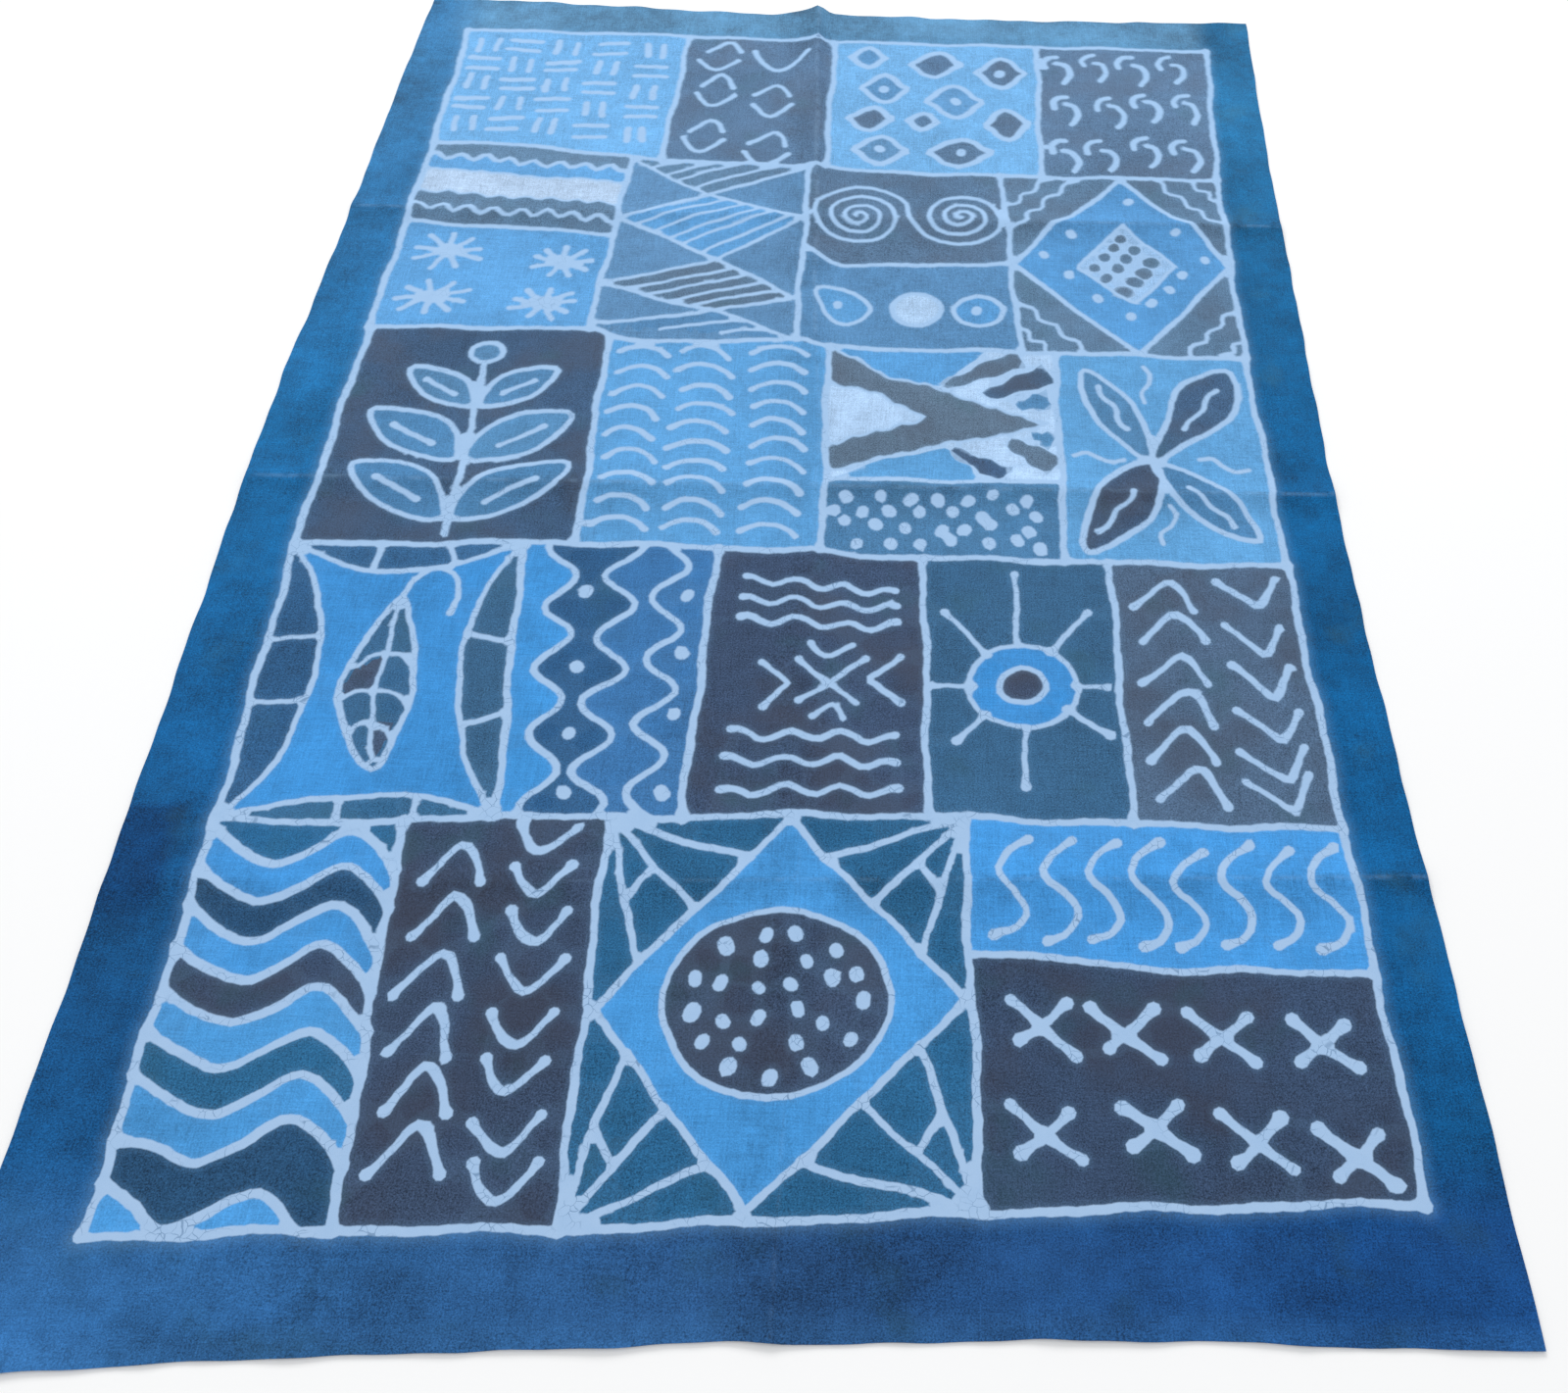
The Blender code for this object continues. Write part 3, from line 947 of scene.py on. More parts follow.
# %% Dotted lozenge
STEPPED = ((0.54, 0.985), (0.755, 0.765), (0.84, 0.725), (0.99, 0.48), (0.53, 0.0), (0.01, 0.47),
           (0.22, 0.715), (0.31, 0.755))
wax(lozenge_panel.spots(STEPPED), closed=True, curved=False, fill="light")
middle = lozenge_panel.spot(0.525, 0.485)
KITE = ((0.0, 0.095), (0.078, -0.003), (0.003, -0.094), (-0.078, -0.010))
wax(middle + np.array(KITE), width=0.0062, closed=True, curved=False, fill="pale")
GridRow = namedtuple("GridRow", "start size")
GRID_ROWS = (GridRow((-0.001, 0.064), (0.020, 0.026)), GridRow((0.0165, 0.038), (0.021, 0.027)),
             GridRow((0.040, 0.004), (0.034, 0.030)))
NEXT_CELL = np.array([-0.0168, -0.0235])
CELL_TURN = -25
for grid_row in GRID_ROWS:
    for count in range(4):
        place = middle + np.array(grid_row.start) + NEXT_CELL * count
        cell(placed(ring((0.0, 0.0), 0.5, 0.5, 8), place, grid_row.size, CELL_TURN), "grey")
SPECKS = ((0.568, 0.85), (0.292, 0.648), (0.766, 0.67), (0.146, 0.528), (0.888, 0.515),
          (0.256, 0.42), (0.775, 0.43), (0.377, 0.30), (0.697, 0.348), (0.605, 0.27), (0.515, 0.20))
for share in SPECKS:
    dot(lozenge_panel.spot(*share), 0.0085)
print(len(cell_middles), "dyed shapes with a point of their own,", len(SPECKS), "dots")

# %% [markdown]
# ## Far row: basket dashes, broken lozenges, dotted lozenges and hooks
#
# Four quiet repeats. Pairs of dashes turn from upright to level like a basket weave. A
# chevron over a tick makes a broken lozenge. Whole lozenges are scattered on light
# blue, some with a dot. Two hooks facing each other fill the last panel.

# %% Basket dashes
DASH_WIDTH = 0.0106
basket = panel(4, 0)
dye(basket.outline(), "light")
for row, along in enumerate((0.86, 0.69, 0.52, 0.345, 0.165)):
    for column, across in enumerate((0.11, 0.28, 0.46, 0.66, 0.86)):
        middle = basket.spot(across, along)
        upright_pair = (row + column) % 2 == 0
        for side in (-0.014, 0.014):
            if upright_pair:
                ends = placed(((0.0, -0.5), (0.0, 0.5)), middle + (side, 0.0), (1.0, 0.034))
            else:
                ends = placed(((-0.5, 0.0), (0.5, 0.0)), middle + (0.0, side), (0.048, 1.0))
            wax(ends, width=DASH_WIDTH, curved=False)
print(len(strokes), "wax lines so far")

# %% Broken lozenges
BROKEN_WIDTH = 0.0084
BROKEN = ((0.24, 0.84), (0.24, 0.55), (0.24, 0.20), (0.63, 0.495), (0.63, 0.125))
broken = panel(4, 1)
dye(broken.outline(), "charcoal")
for across, along in BROKEN:
    middle = broken.spot(across, along)
    wax(placed(CHEVRON, middle + (0.002, 0.028), (0.056, 0.034)), width=BROKEN_WIDTH, drop=0.2)
    wax(placed(TICK, middle - (0.002, 0.028), (0.064, 0.036)), width=BROKEN_WIDTH, drop=0.2)
wax(placed(TICK, broken.spot(0.65, 0.83), (0.090, 0.056)), width=BROKEN_WIDTH, drop=0.2)
print(len(BROKEN), "broken lozenges")

# %% Scattered lozenges
scattered = panel(4, 2)
dye(scattered.outline(), "light")
Scatter = namedtuple("Scatter", "across along wide high fill dotted")
SCATTER = (
    Scatter(0.18, 0.875, 0.058, 0.056, "teal", False),
    Scatter(0.50, 0.84, 0.086, 0.080, "charcoal", False),
    Scatter(0.81, 0.77, 0.084, 0.080, "charcoal", True),
    Scatter(0.25, 0.63, 0.076, 0.078, "teal", True),
    Scatter(0.60, 0.54, 0.094, 0.094, "teal", True),
    Scatter(0.19, 0.39, 0.066, 0.070, "charcoal", False),
    Scatter(0.43, 0.37, 0.050, 0.050, "charcoal", False),
    Scatter(0.85, 0.365, 0.076, 0.084, "charcoal", False),
    Scatter(0.25, 0.16, 0.092, 0.074, "teal", True),
    Scatter(0.63, 0.165, 0.096, 0.080, "charcoal", True),
)
for mark in SCATTER:
    middle = scattered.spot(mark.across, mark.along)
    wax(placed(SEED, middle, (mark.wide, mark.high)), width=0.0115, closed=True, fill=mark.fill)
    if mark.dotted:
        dot(middle, 0.009)
print(len(SCATTER), "scattered lozenges")

# %% Hooks
HOOK_WIDTH = 0.0106
HookRow = namedtuple("HookRow", "along places")
HOOK_ROWS = (HookRow(0.835, (0.115, 0.335, 0.555, 0.785)), HookRow(0.51, (0.155, 0.40, 0.62, 0.86)),
             HookRow(0.175, (0.135, 0.36, 0.61, 0.83)))
hooks = panel(4, 3)
dye(hooks.outline(), "charcoal")
for row in HOOK_ROWS:
    for across in row.places:
        middle = hooks.spot(across, row.along + hand.uniform(-0.02, 0.02))
        wax(placed(HOOK, middle + (-0.011, 0.017), (0.026, 0.048)), width=HOOK_WIDTH)
        wax(placed(HOOK_BACK, middle + (0.009, -0.011), (0.026, 0.058)), width=HOOK_WIDTH)
print(len(strokes), "wax lines and dots,", len(patches), "dyed patches")

# %% [markdown]
# ## Where the creases run
#
# The cloth was stored folded once along its length and three times across. Each crease
# is a path on the cloth with a height at every point. The sheet needs points along
# them too, so they come before the sheet is cut into faces.

# %% Crease paths
LongRow = namedtuple("LongRow", "along place height")
LONG_CREASE = (
    LongRow(0.00, 0.506, 0.0025),
    LongRow(0.30, 0.505, 0.0020),
    LongRow(0.50, 0.498, 0.0025),
    LongRow(0.70, 0.482, 0.0040),
    LongRow(0.85, 0.472, 0.0080),
    LongRow(0.94, 0.466, 0.0135),
    LongRow(1.00, 0.464, 0.0180),
)
CrossCrease = namedtuple("CrossCrease", "left_at right_at left middle right skirt")
CROSS_CREASES = (
    CrossCrease(0.500, 0.505, 0.0008, 0.0030, 0.0035, 0.045),
    CrossCrease(1.108, 1.096, 0.0040, 0.0045, 0.0055, 0.060),
    CrossCrease(1.684, 1.681, 0.0040, 0.0035, 0.0050, 0.050),
)
LEFT_SKIRT, RIGHT_SKIRT = 0.065, 0.028  # how far the long crease runs out on each side
PATH_POINTS = 190
Crease = namedtuple("Crease", "name path heights before after across")
shares = np.linspace(0.0, 1.0, PATH_POINTS)
long_path = np.column_stack([eased(LONG_CREASE, shares, "place") * WIDTH, shares * LENGTH])
long_heights = eased(LONG_CREASE, shares, "height")
creases = [Crease("long", long_path, long_heights, LEFT_SKIRT, RIGHT_SKIRT, "x")]
for number, crease in enumerate(CROSS_CREASES):
    heights = np.interp(shares, (0.0, 0.5, 1.0), (crease.left, crease.middle, crease.right))
    path = np.column_stack([shares * WIDTH,
                            crease.left_at + (crease.right_at - crease.left_at) * shares])
    creases.append(Crease(f"cross_{number}", path, heights, crease.skirt, crease.skirt, "y"))
print(len(creases), "creases")

# %% [markdown]
# ## How far every place is from the wax
#
# The pattern is stored on the sheet's own points as one number: how deep inside the
# wax a point lies, in metres, with a minus sign outside. It is a distance, so it
# changes evenly from point to point, and the edge of a line stays sharp between points
# even though they are a centimetre apart. A picture of the pattern would need millions
# of pixels for that.

# %% Depth in the wax
FAR_OUT = 0.03  # the distance is measured up to here
PIECE = 10  # spans of a line that are looked at together
NO_LENGTH = 1e-12  # keeps the sum out of trouble where two points are the same


def depth_in_wax(points):
    """Depth of each point inside the nearest wax, negative outside."""
    depth = np.full(len(points), -FAR_OUT)
    for stroke in strokes:
        path = np.vstack([stroke.path, stroke.path[:1]]) if stroke.closed else stroke.path
        half = np.append(stroke.half, stroke.half[0]) if stroke.closed else stroke.half
        for first in range(0, len(path) - 1, PIECE):
            ends, wide = path[first:first + PIECE + 1], half[first:first + PIECE + 1]
            low, high = ends.min(0) - FAR_OUT, ends.max(0) + FAR_OUT
            near = np.nonzero(np.all((points > low) & (points < high), axis=1))[0]
            if not len(near):
                continue
            start, run = ends[:-1], np.diff(ends, axis=0)
            away = points[near][:, None, :] - start[None]
            squared = np.maximum((run**2).sum(1), NO_LENGTH)
            share = np.clip((away * run[None]).sum(2) / squared, 0.0, 1.0)
            gap = np.hypot(*np.moveaxis(away - share[..., None] * run[None], 2, 0))
            waxed = wide[:-1] + np.diff(wide) * share - gap
            depth[near] = np.maximum(depth[near], waxed.max(1))
    return depth


print("depth is measured up to", FAR_OUT * 1000, "mm from the wax")

# %% [markdown]
# ## The edge of the sheet
#
# The four edges follow the sway tables, with a small flutter of their own that dies
# away at the corners. Two tests tell which points lie inside an outline, and which
# lie well inside the sheet.

# %% Edge of the sheet
OUTLINE_STEP = 0.010
RIPPLED_END = 0.0016  # how far a cut end waves in and out between the table's rows
RIPPLED_NEAR_SHARE = 0.4  # the near end waves less
RIPPLED_SIDE = 0.0007  # and this is for a side edge


def sheet_outline():
    """The edge of the sheet, once round."""
    across = np.linspace(0.0, 1.0, int(WIDTH / OUTLINE_STEP))
    along = np.linspace(0.0, 1.0, int(LENGTH / OUTLINE_STEP))
    calm = np.sin(math.pi * across) ** 0.5
    flutter = RIPPLED_END * calm * (np.sin(58 * across) + 0.7 * np.sin(131 * across + 1.0))
    near_y = eased(END_SWAY, across, "near") + RIPPLED_NEAR_SHARE * flutter
    near = np.column_stack([across * WIDTH, near_y])
    far_width = WIDTH + SIDE_SWAY[-1].right
    far = np.column_stack([across * far_width, LENGTH + eased(END_SWAY, across, "far") + flutter])
    calm = np.sin(math.pi * along) ** 0.5
    flutter = RIPPLED_SIDE * calm * (np.sin(83 * along) + 0.7 * np.sin(190 * along + 2.0))
    left = np.column_stack([eased(SIDE_SWAY, along, "left") + flutter, along * LENGTH])
    right = np.column_stack([WIDTH + eased(SIDE_SWAY, along, "right") + flutter, along * LENGTH])
    return np.vstack([near[:-1], right[:-1], far[::-1][:-1], left[::-1][:-1]])


def inside(outline, points):
    """Which points lie inside an outline."""
    result = np.zeros(len(points), bool)
    x, y = points[:, 0], points[:, 1]
    for (ax, ay), (bx, by) in zip(outline, np.roll(outline, -1, 0)):
        if ay == by:
            continue
        crosses_row = (y < ay) != (y < by)
        result ^= crosses_row & (x < ax + (bx - ax) * (y - ay) / (by - ay))
    return result


def inside_sheet(points, margin):
    """Which points lie inside the sheet by at least this margin."""
    x, y = points[:, 0], points[:, 1]
    across, along = x / WIDTH, y / LENGTH
    return (
        (x > eased(SIDE_SWAY, along, "left") + margin)
        & (x < WIDTH + eased(SIDE_SWAY, along, "right") - margin)
        & (y > eased(END_SWAY, across, "near") + margin)
        & (y < LENGTH + eased(END_SWAY, across, "far") - margin)
    )


print(len(sheet_outline()), "points round the sheet")

# %% [markdown]
# ## Points for the faces
#
# Faces must not straddle a wax line's middle, because the dye changes there. So the
# lines' middles become edges of the mesh. A row of points beside each line, a little
# outside the wax, fixes the edge of the line. Rows of points along the creases let the
# sheet bend there, and an even grid fills the rest. Points that come too close to
# others are thinned out, because thin faces shade badly.

# %% Points beside the wax
BESIDE = 0.0042  # how far outside the wax the guiding points lie


def beside_strokes():
    """Points just outside the wax, along both sides of each line and round its ends."""
    rows = []
    for stroke in strokes:
        if len(stroke.path) == 2 and not stroke.closed:
            reach = stroke.half[0] + BESIDE
            rows.append(ring(stroke.path.mean(axis=0), reach, reach + 0.002, 11))
            continue
        if stroke.closed:
            run = np.roll(stroke.path, -1, 0) - np.roll(stroke.path, 1, 0)
        else:
            run = np.gradient(stroke.path, axis=0)
        run /= np.maximum(np.hypot(*run.T), 1e-9)[:, None]
        side = np.column_stack([-run[:, 1], run[:, 0]])
        reach = (stroke.half + BESIDE)[:, None]
        rows += [stroke.path + side * reach, stroke.path - side * reach]
        if not stroke.closed:
            for end, way in ((0, -1), (-1, 1)):
                tip, out = stroke.path[end], way * run[end]
                slanting = 0.7 * reach[end]
                rows.append(np.array([tip + reach[end] * out, tip + slanting * (out + side[end]),
                                      tip + slanting * (out - side[end])]))
    return np.vstack(rows)


beside = beside_strokes()
print(len(beside), "points beside the wax")

# %% Thinning


def thinned(candidates, kept, spacing):
    """Candidates that keep their distance from kept points and from each other."""
    cells = {}
    for x, y in kept:
        cells.setdefault((int(x // spacing), int(y // spacing)), []).append((x, y))
    chosen = []
    for x, y in candidates:
        column, row = int(x // spacing), int(y // spacing)
        close = (
            other
            for i in (column - 1, column, column + 1)
            for j in (row - 1, row, row + 1)
            for other in cells.get((i, j), ())
        )
        if all((x - a) ** 2 + (y - b) ** 2 >= spacing * spacing for a, b in close):
            cells.setdefault((column, row), []).append((x, y))
            chosen.append((x, y))
    return np.array(chosen).reshape(-1, 2)


BESIDE_MARGIN = 0.004  # how far the points stay off the sheet's edge
BESIDE_CLEAR = 0.0016  # and off the next wax line
BESIDE_SPACING = 0.0052
lines = [(stroke.path, stroke.closed) for stroke in strokes]
lines.append((sheet_outline(), True))
lines += [(middle[None], False) for middle in cell_middles]
line_points = np.vstack([path for path, closed in lines])
beside = beside[inside_sheet(beside, BESIDE_MARGIN) & (depth_in_wax(beside) < -BESIDE_CLEAR)]
beside = thinned(beside, line_points, BESIDE_SPACING)
fixed_points = np.vstack([line_points, beside])
print(len(line_points), "points on lines,", len(beside), "beside them")

# %% Points along the creases
RowBeside = namedtuple("RowBeside", "offset step")
ROWS_BESIDE = (RowBeside(0.0, 0.009), RowBeside(-0.008, 0.012), RowBeside(0.008, 0.012),
               RowBeside(-0.020, 0.015), RowBeside(0.020, 0.015))
CREASE_MARGIN = 0.005
CREASE_OUTSIDE = 0.005  # how far outside a wax line's edge a crease's points stay
CREASE_INSIDE = 0.002  # and how far inside it
CREASE_SPACING = 0.0045
crease_rows = []
for crease in creases:
    for row in ROWS_BESIDE:
        shift = (row.offset, 0.0) if crease.across == "x" else (0.0, row.offset)
        crease_rows.append(even(crease.path + shift, step=row.step))
crease_points = np.vstack(crease_rows)
crease_points = crease_points[inside_sheet(crease_points, CREASE_MARGIN)]
depths = depth_in_wax(crease_points)
crease_points = crease_points[(depths < -CREASE_OUTSIDE) | (depths > CREASE_INSIDE)]
crease_points = thinned(crease_points, fixed_points, CREASE_SPACING)
fixed_points = np.vstack([fixed_points, crease_points])
print(len(crease_points), "points along the creases")

# %% Points between
GRID = 0.0125
GRID_ROW = GRID * 0.866  # rows of even triangles
GRID_START = -0.02
GRID_MARGIN = 0.006
GRID_SPACING = 0.0085
columns, rows = np.meshgrid(np.arange(0.0, WIDTH - GRID_START, GRID),
                            np.arange(0.0, LENGTH, GRID_ROW))
columns = columns + np.where(np.arange(len(rows)) % 2, GRID / 2, 0.0)[:, None] + GRID_START
grid = np.column_stack([columns.ravel(), rows.ravel()])
grid = grid[inside_sheet(grid, GRID_MARGIN)]
grid = thinned(grid, fixed_points, GRID_SPACING)
print(len(grid), "points between")

# %% [markdown]
# ## Cutting the sheet into faces
#
# The triangulator joins all the points up and keeps the given edges. It also bridges
# the hollows of the sheet's edge, and those faces are dropped.

# %% Faces of the sheet
edges = []
first = 0
for path, closed in lines:
    last = first + len(path) - 1
    edges += [(i, i + 1) for i in range(first, last)]
    if closed:
        edges.append((last, first))
    first = last + 1
flat_points = np.vstack([fixed_points, grid])
ALL_FACES = 0  # tells the triangulator to keep every face it makes
SAME_POINT = 0.00005
flat_points, _, faces, _, _, _ = delaunay_2d_cdt(
    [tuple(point) for point in flat_points], edges, [], ALL_FACES, SAME_POINT, False)
flat_points = np.array([tuple(point) for point in flat_points])
faces = np.array([face for face in faces if len(face) == 3])
faces = faces[inside(sheet_outline(), flat_points[faces].mean(axis=1))]
print(len(flat_points), "points and", len(faces), "faces")

# %% [markdown]
# ## Dye baths
#
# Each bath has a colour for every row of panels, from near to far, and a patch takes
# the mix for the place it lies at. The rows differ a little in dye, and they turn paler
# toward the far end, which is painted sheen where the light grazes the cloth.
# No two patches come out quite alike, which the patch's own tint sees to. A face takes
# the dye of the last patch that holds its middle. The colour is kept on the face's
# corners, so it changes at the wax line and doesn't blend across it.
#
# The border is one long soak. It is bluer on the left, and a stretch of the left side
# went into the bath twice. It is deeper at the near end and paler at the far end, the
# same painted sheen as the panels'.

# %% Dye baths
ROW_MIDDLES = (0.35, 0.79, 1.20, 1.61, 2.00)
# one colour per row, near to far; the rise toward the far end is painted sheen
BATHS = {
    "light": ((0.066, 0.306, 0.680), (0.048, 0.285, 0.690), (0.114, 0.368, 0.715),
              (0.095, 0.320, 0.655), (0.150, 0.395, 0.715)),
    "teal": ((0.022, 0.128, 0.280), (0.038, 0.122, 0.245), (0.079, 0.239, 0.463),
             (0.110, 0.270, 0.500), (0.110, 0.290, 0.540)),
    "navy": ((0.045, 0.170, 0.395), (0.045, 0.170, 0.395), (0.060, 0.200, 0.420),
             (0.080, 0.230, 0.450), (0.090, 0.250, 0.470)),
    "deep": ((0.022, 0.075, 0.160), (0.026, 0.100, 0.230), (0.050, 0.150, 0.300),
             (0.070, 0.190, 0.360), (0.080, 0.200, 0.380)),
    "grey": ((0.045, 0.090, 0.170), (0.078, 0.138, 0.236), (0.100, 0.165, 0.250),
             (0.112, 0.210, 0.340), (0.115, 0.235, 0.390)),
    "charcoal": ((0.043, 0.074, 0.141), (0.047, 0.076, 0.142), (0.048, 0.105, 0.205),
                 (0.085, 0.165, 0.280), (0.098, 0.188, 0.324)),
    "undyed": ((0.430, 0.600, 0.850), (0.430, 0.600, 0.850), (0.440, 0.620, 0.870),
               (0.450, 0.630, 0.870), (0.460, 0.640, 0.880)),
    "pale": ((0.340, 0.540, 0.820),) * 5,
}
# the border's rows also pale toward the far end: painted sheen
BORDER_LEFT = ((0.008, 0.090, 0.255), (0.006, 0.108, 0.295), (0.008, 0.134, 0.340),
               (0.020, 0.162, 0.385), (0.040, 0.195, 0.420))
BORDER_RIGHT = ((0.004, 0.098, 0.275), (0.003, 0.102, 0.280), (0.003, 0.104, 0.275),
                (0.006, 0.118, 0.290), (0.014, 0.145, 0.325))
NEAR_BAND_AT = (0.20, 0.75, 1.30)
NEAR_BAND = ((0.026, 0.120, 0.310), (0.020, 0.076, 0.204), (0.008, 0.065, 0.222))
NEAR_RIM = (0.045, 0.165, 0.380)
FAR_BAND = (0.101, 0.270, 0.466)
OVERDYED = (0.005, 0.060, 0.190)


def between(places, at, colours):
    """Colours at many places, from a table of colours at a few."""
    table = np.array(colours)
    return np.column_stack([np.interp(places, at, table[:, k]) for k in range(3)])


def soft_step(value, low, high):
    """Zero below low, one above high, and smooth between."""
    share = np.clip((value - low) / (high - low), 0.0, 1.0)
    return share * share * (3.0 - 2.0 * share)


print(len(BATHS), "baths for the panels")

# %% Dye the border
corners = flat_points[faces.ravel()]
x, y = corners[:, 0], corners[:, 1]
left_side, right_side = between(y, ROW_MIDDLES, BORDER_LEFT), between(y, ROW_MIDDLES, BORDER_RIGHT)
border = left_side + (right_side - left_side) * soft_step(x, 0.30, 1.10)[:, None]
from_near = y - eased(END_SWAY, x / WIDTH, "near")
in_near_band = soft_step(y, 0.22, 0.10)
on_near_rim = 0.2 * soft_step(from_near, 0.035, 0.010)
in_far_band = soft_step(y, 2.12, 2.22) * soft_step(x, 1.37, 1.33) * soft_step(x, 0.02, 0.12)
twice_dyed = soft_step(x, 0.062, 0.045) * soft_step(y, 0.42, 0.50) * soft_step(y, 0.61, 0.59)
for share, colour in ((in_near_band, between(x, NEAR_BAND_AT, NEAR_BAND)), (on_near_rim, NEAR_RIM),
                      (in_far_band, FAR_BAND), (twice_dyed, OVERDYED)):
    border += (colour - border) * share[:, None]
print(len(corners), "corners")

# %% Dye the panels
middles = flat_points[faces].mean(axis=1)
face_dye = np.zeros((len(faces), 3))
on_border = np.ones(len(faces), bool)
for patch in patches:
    low, high = patch.outline.min(0), patch.outline.max(0)
    near = np.nonzero(np.all((middles > low) & (middles < high), axis=1))[0]
    dyed_here = near[inside(patch.outline, middles[near])]
    mixed_bath = between([patch.outline[:, 1].mean()], ROW_MIDDLES, BATHS[patch.dye])[0]
    face_dye[dyed_here] = mixed_bath * patch.tint
    on_border[dyed_here] = False
corner_border = np.repeat(on_border, 3)
corner_colours = np.where(corner_border[:, None], border, np.repeat(face_dye, 3, axis=0))
print(int(on_border.sum()), "faces in the border,", int((~on_border).sum()), "in panels")

# %% [markdown]
# ## The flat sheet and what its points know
#
# The mesh gets its faces and the numbers that the material and the node trees read:
# the depth in the wax, the dye, whether a corner lies in the border, how far a point
# is from the sheet's edge, and how much painted shade it takes beside a crease.

# %% Make the flat sheet
sheet_mesh = bpy.data.meshes.new("dyed_cloth")
sheet_mesh.from_pydata(
    np.column_stack([on_floor(flat_points), np.zeros(len(flat_points))]).tolist(), [],
    faces.tolist())
resist = sheet_mesh.attributes.new("resist", "FLOAT", "POINT")
resist.data.foreach_set("value", depth_in_wax(flat_points))
dyed = sheet_mesh.color_attributes.new("dye", "FLOAT_COLOR", "CORNER")
dyed.data.foreach_set("color", np.column_stack([corner_colours, np.ones(len(corners))]).ravel())
soaked = sheet_mesh.attributes.new("border", "FLOAT", "CORNER")
soaked.data.foreach_set("value", corner_border.astype(float))
sheet = bpy.data.objects.new("flat_sheet", sheet_mesh)
bpy.context.collection.objects.link(sheet)
print("flat sheet", [round(size, 3) for size in sheet.dimensions[:2]], "m")

# %% Rim, folds and painted crease shade
CREASE_SHADE_WIDTH = 0.07  # painted shade reaches this far on the near side of a crosswise crease
CREASE_SHADE_SLACK = 0.001  # how far past the crease it may start
LONG_CREASE_SHADE_WIDTH = 0.05  # painted shade along the long crease, to each side of its middle
LONG_CREASE_SHADE_SHIFT = 0.02  # how far to the left of the crease that middle lies
edge_distance = np.minimum.reduce([
    flat_points[:, 1] - eased(END_SWAY, flat_points[:, 0] / WIDTH, "near"),
    LENGTH + eased(END_SWAY, flat_points[:, 0] / WIDTH, "far") - flat_points[:, 1],
    flat_points[:, 0] - eased(SIDE_SWAY, flat_points[:, 1] / LENGTH, "left"),
    WIDTH + eased(SIDE_SWAY, flat_points[:, 1] / LENGTH, "right") - flat_points[:, 0],
])
rim = sheet_mesh.attributes.new("rim", "FLOAT", "POINT")
rim.data.foreach_set("value", edge_distance)
fold = sheet_mesh.attributes.new("fold", "FLOAT", "POINT")
fold.data.foreach_set("value", np.zeros(len(flat_points)))
crease_shade_depth = np.zeros(len(flat_points))  # painted shade: the near side of a crease, turned from the light, is darker
for crease in creases[1:]:
    crease_y = np.interp(flat_points[:, 0], crease.path[:, 0], crease.path[:, 1])
    nearer = crease_y - flat_points[:, 1]
    fading = np.where(nearer > -CREASE_SHADE_SLACK, 1.0 - nearer / CREASE_SHADE_WIDTH, 0.0)
    crease_shade_depth = np.maximum(crease_shade_depth, fading)
long_x = np.interp(flat_points[:, 1], creases[0].path[:, 1], creases[0].path[:, 0])
from_middle = np.abs(flat_points[:, 0] - long_x + LONG_CREASE_SHADE_SHIFT)
crease_shade_depth = np.maximum(crease_shade_depth, 1.0 - from_middle / LONG_CREASE_SHADE_WIDTH)
smudge = sheet_mesh.attributes.new("smudge", "FLOAT", "POINT")
smudge.data.foreach_set("value", np.clip(crease_shade_depth, 0.0, 1.0))
print(len(flat_points), "points know their distance from the edge and how shaded they are")

# %% [markdown]
# ## Small helpers for node trees
#
# A shader and a Geometry Nodes tree are both nodes joined by links. This helper adds a
# node, sets what it is told to, and links a socket wherever it is given one.

# %% Node helpers


def add_node(tree, kind, inputs=None, **settings):
    """Adds a node. Inputs are numbered or named; a socket is linked, a value is set."""
    node = tree.nodes.new(kind)
    for name, value in settings.items():
        setattr(node, name, value)
    for key, value in (inputs or {}).items():
        if isinstance(value, bpy.types.NodeSocket):
            tree.links.new(value, node.inputs[key])
        else:
            node.inputs[key].default_value = value
    return node


def calculate(tree, operation, first, second=0.0, third=0.0, clamp=False):
    """One step of arithmetic. Only MULTIPLY_ADD has a third number."""
    return add_node(tree, "ShaderNodeMath", {0: first, 1: second, 2: third},
                    operation=operation, use_clamp=clamp).outputs[0]


print("one helper adds a node, the other a step of arithmetic")

# %% [markdown]
# ## The cotton
#
# One material shows everything. It reads the dye from the corners and the wax from the
# points. Where the depth in the wax passes zero the colour turns pale. A little noise
# is added to that depth, so that the edge creeps as dye does along threads.
#
# Two things make it look dyed and not printed: clouds where the bath took unevenly,
# and fine dark lines where stiff wax cracked. Along the creases it paints light and
# shade: a painted highlight on the ridge, and painted shade on the near side. The weave
# itself is under a millimetre, so it is a fine bump.

# %% Tones and sizes of the cotton
# Each pair is for the near and the far end; the far brown and green are paler, painted sheen toward
# the far end.
BROWN_TONES = ((0.040, 0.040, 0.060, 1.0), (0.110, 0.130, 0.180, 1.0))  # near and far
GREEN_TONES = ((0.024, 0.080, 0.105, 1.0), (0.065, 0.190, 0.240, 1.0))
WAXED_TONES = ((0.385, 0.556, 0.795, 1.0), (0.350, 0.560, 0.840, 1.0))
WAXED_BLOTCH = (0.300, 0.480, 0.740, 1.0)
HAZE = (0.200, 0.400, 0.650, 1.0)
CRACK = (0.060, 0.150, 0.290, 1.0)
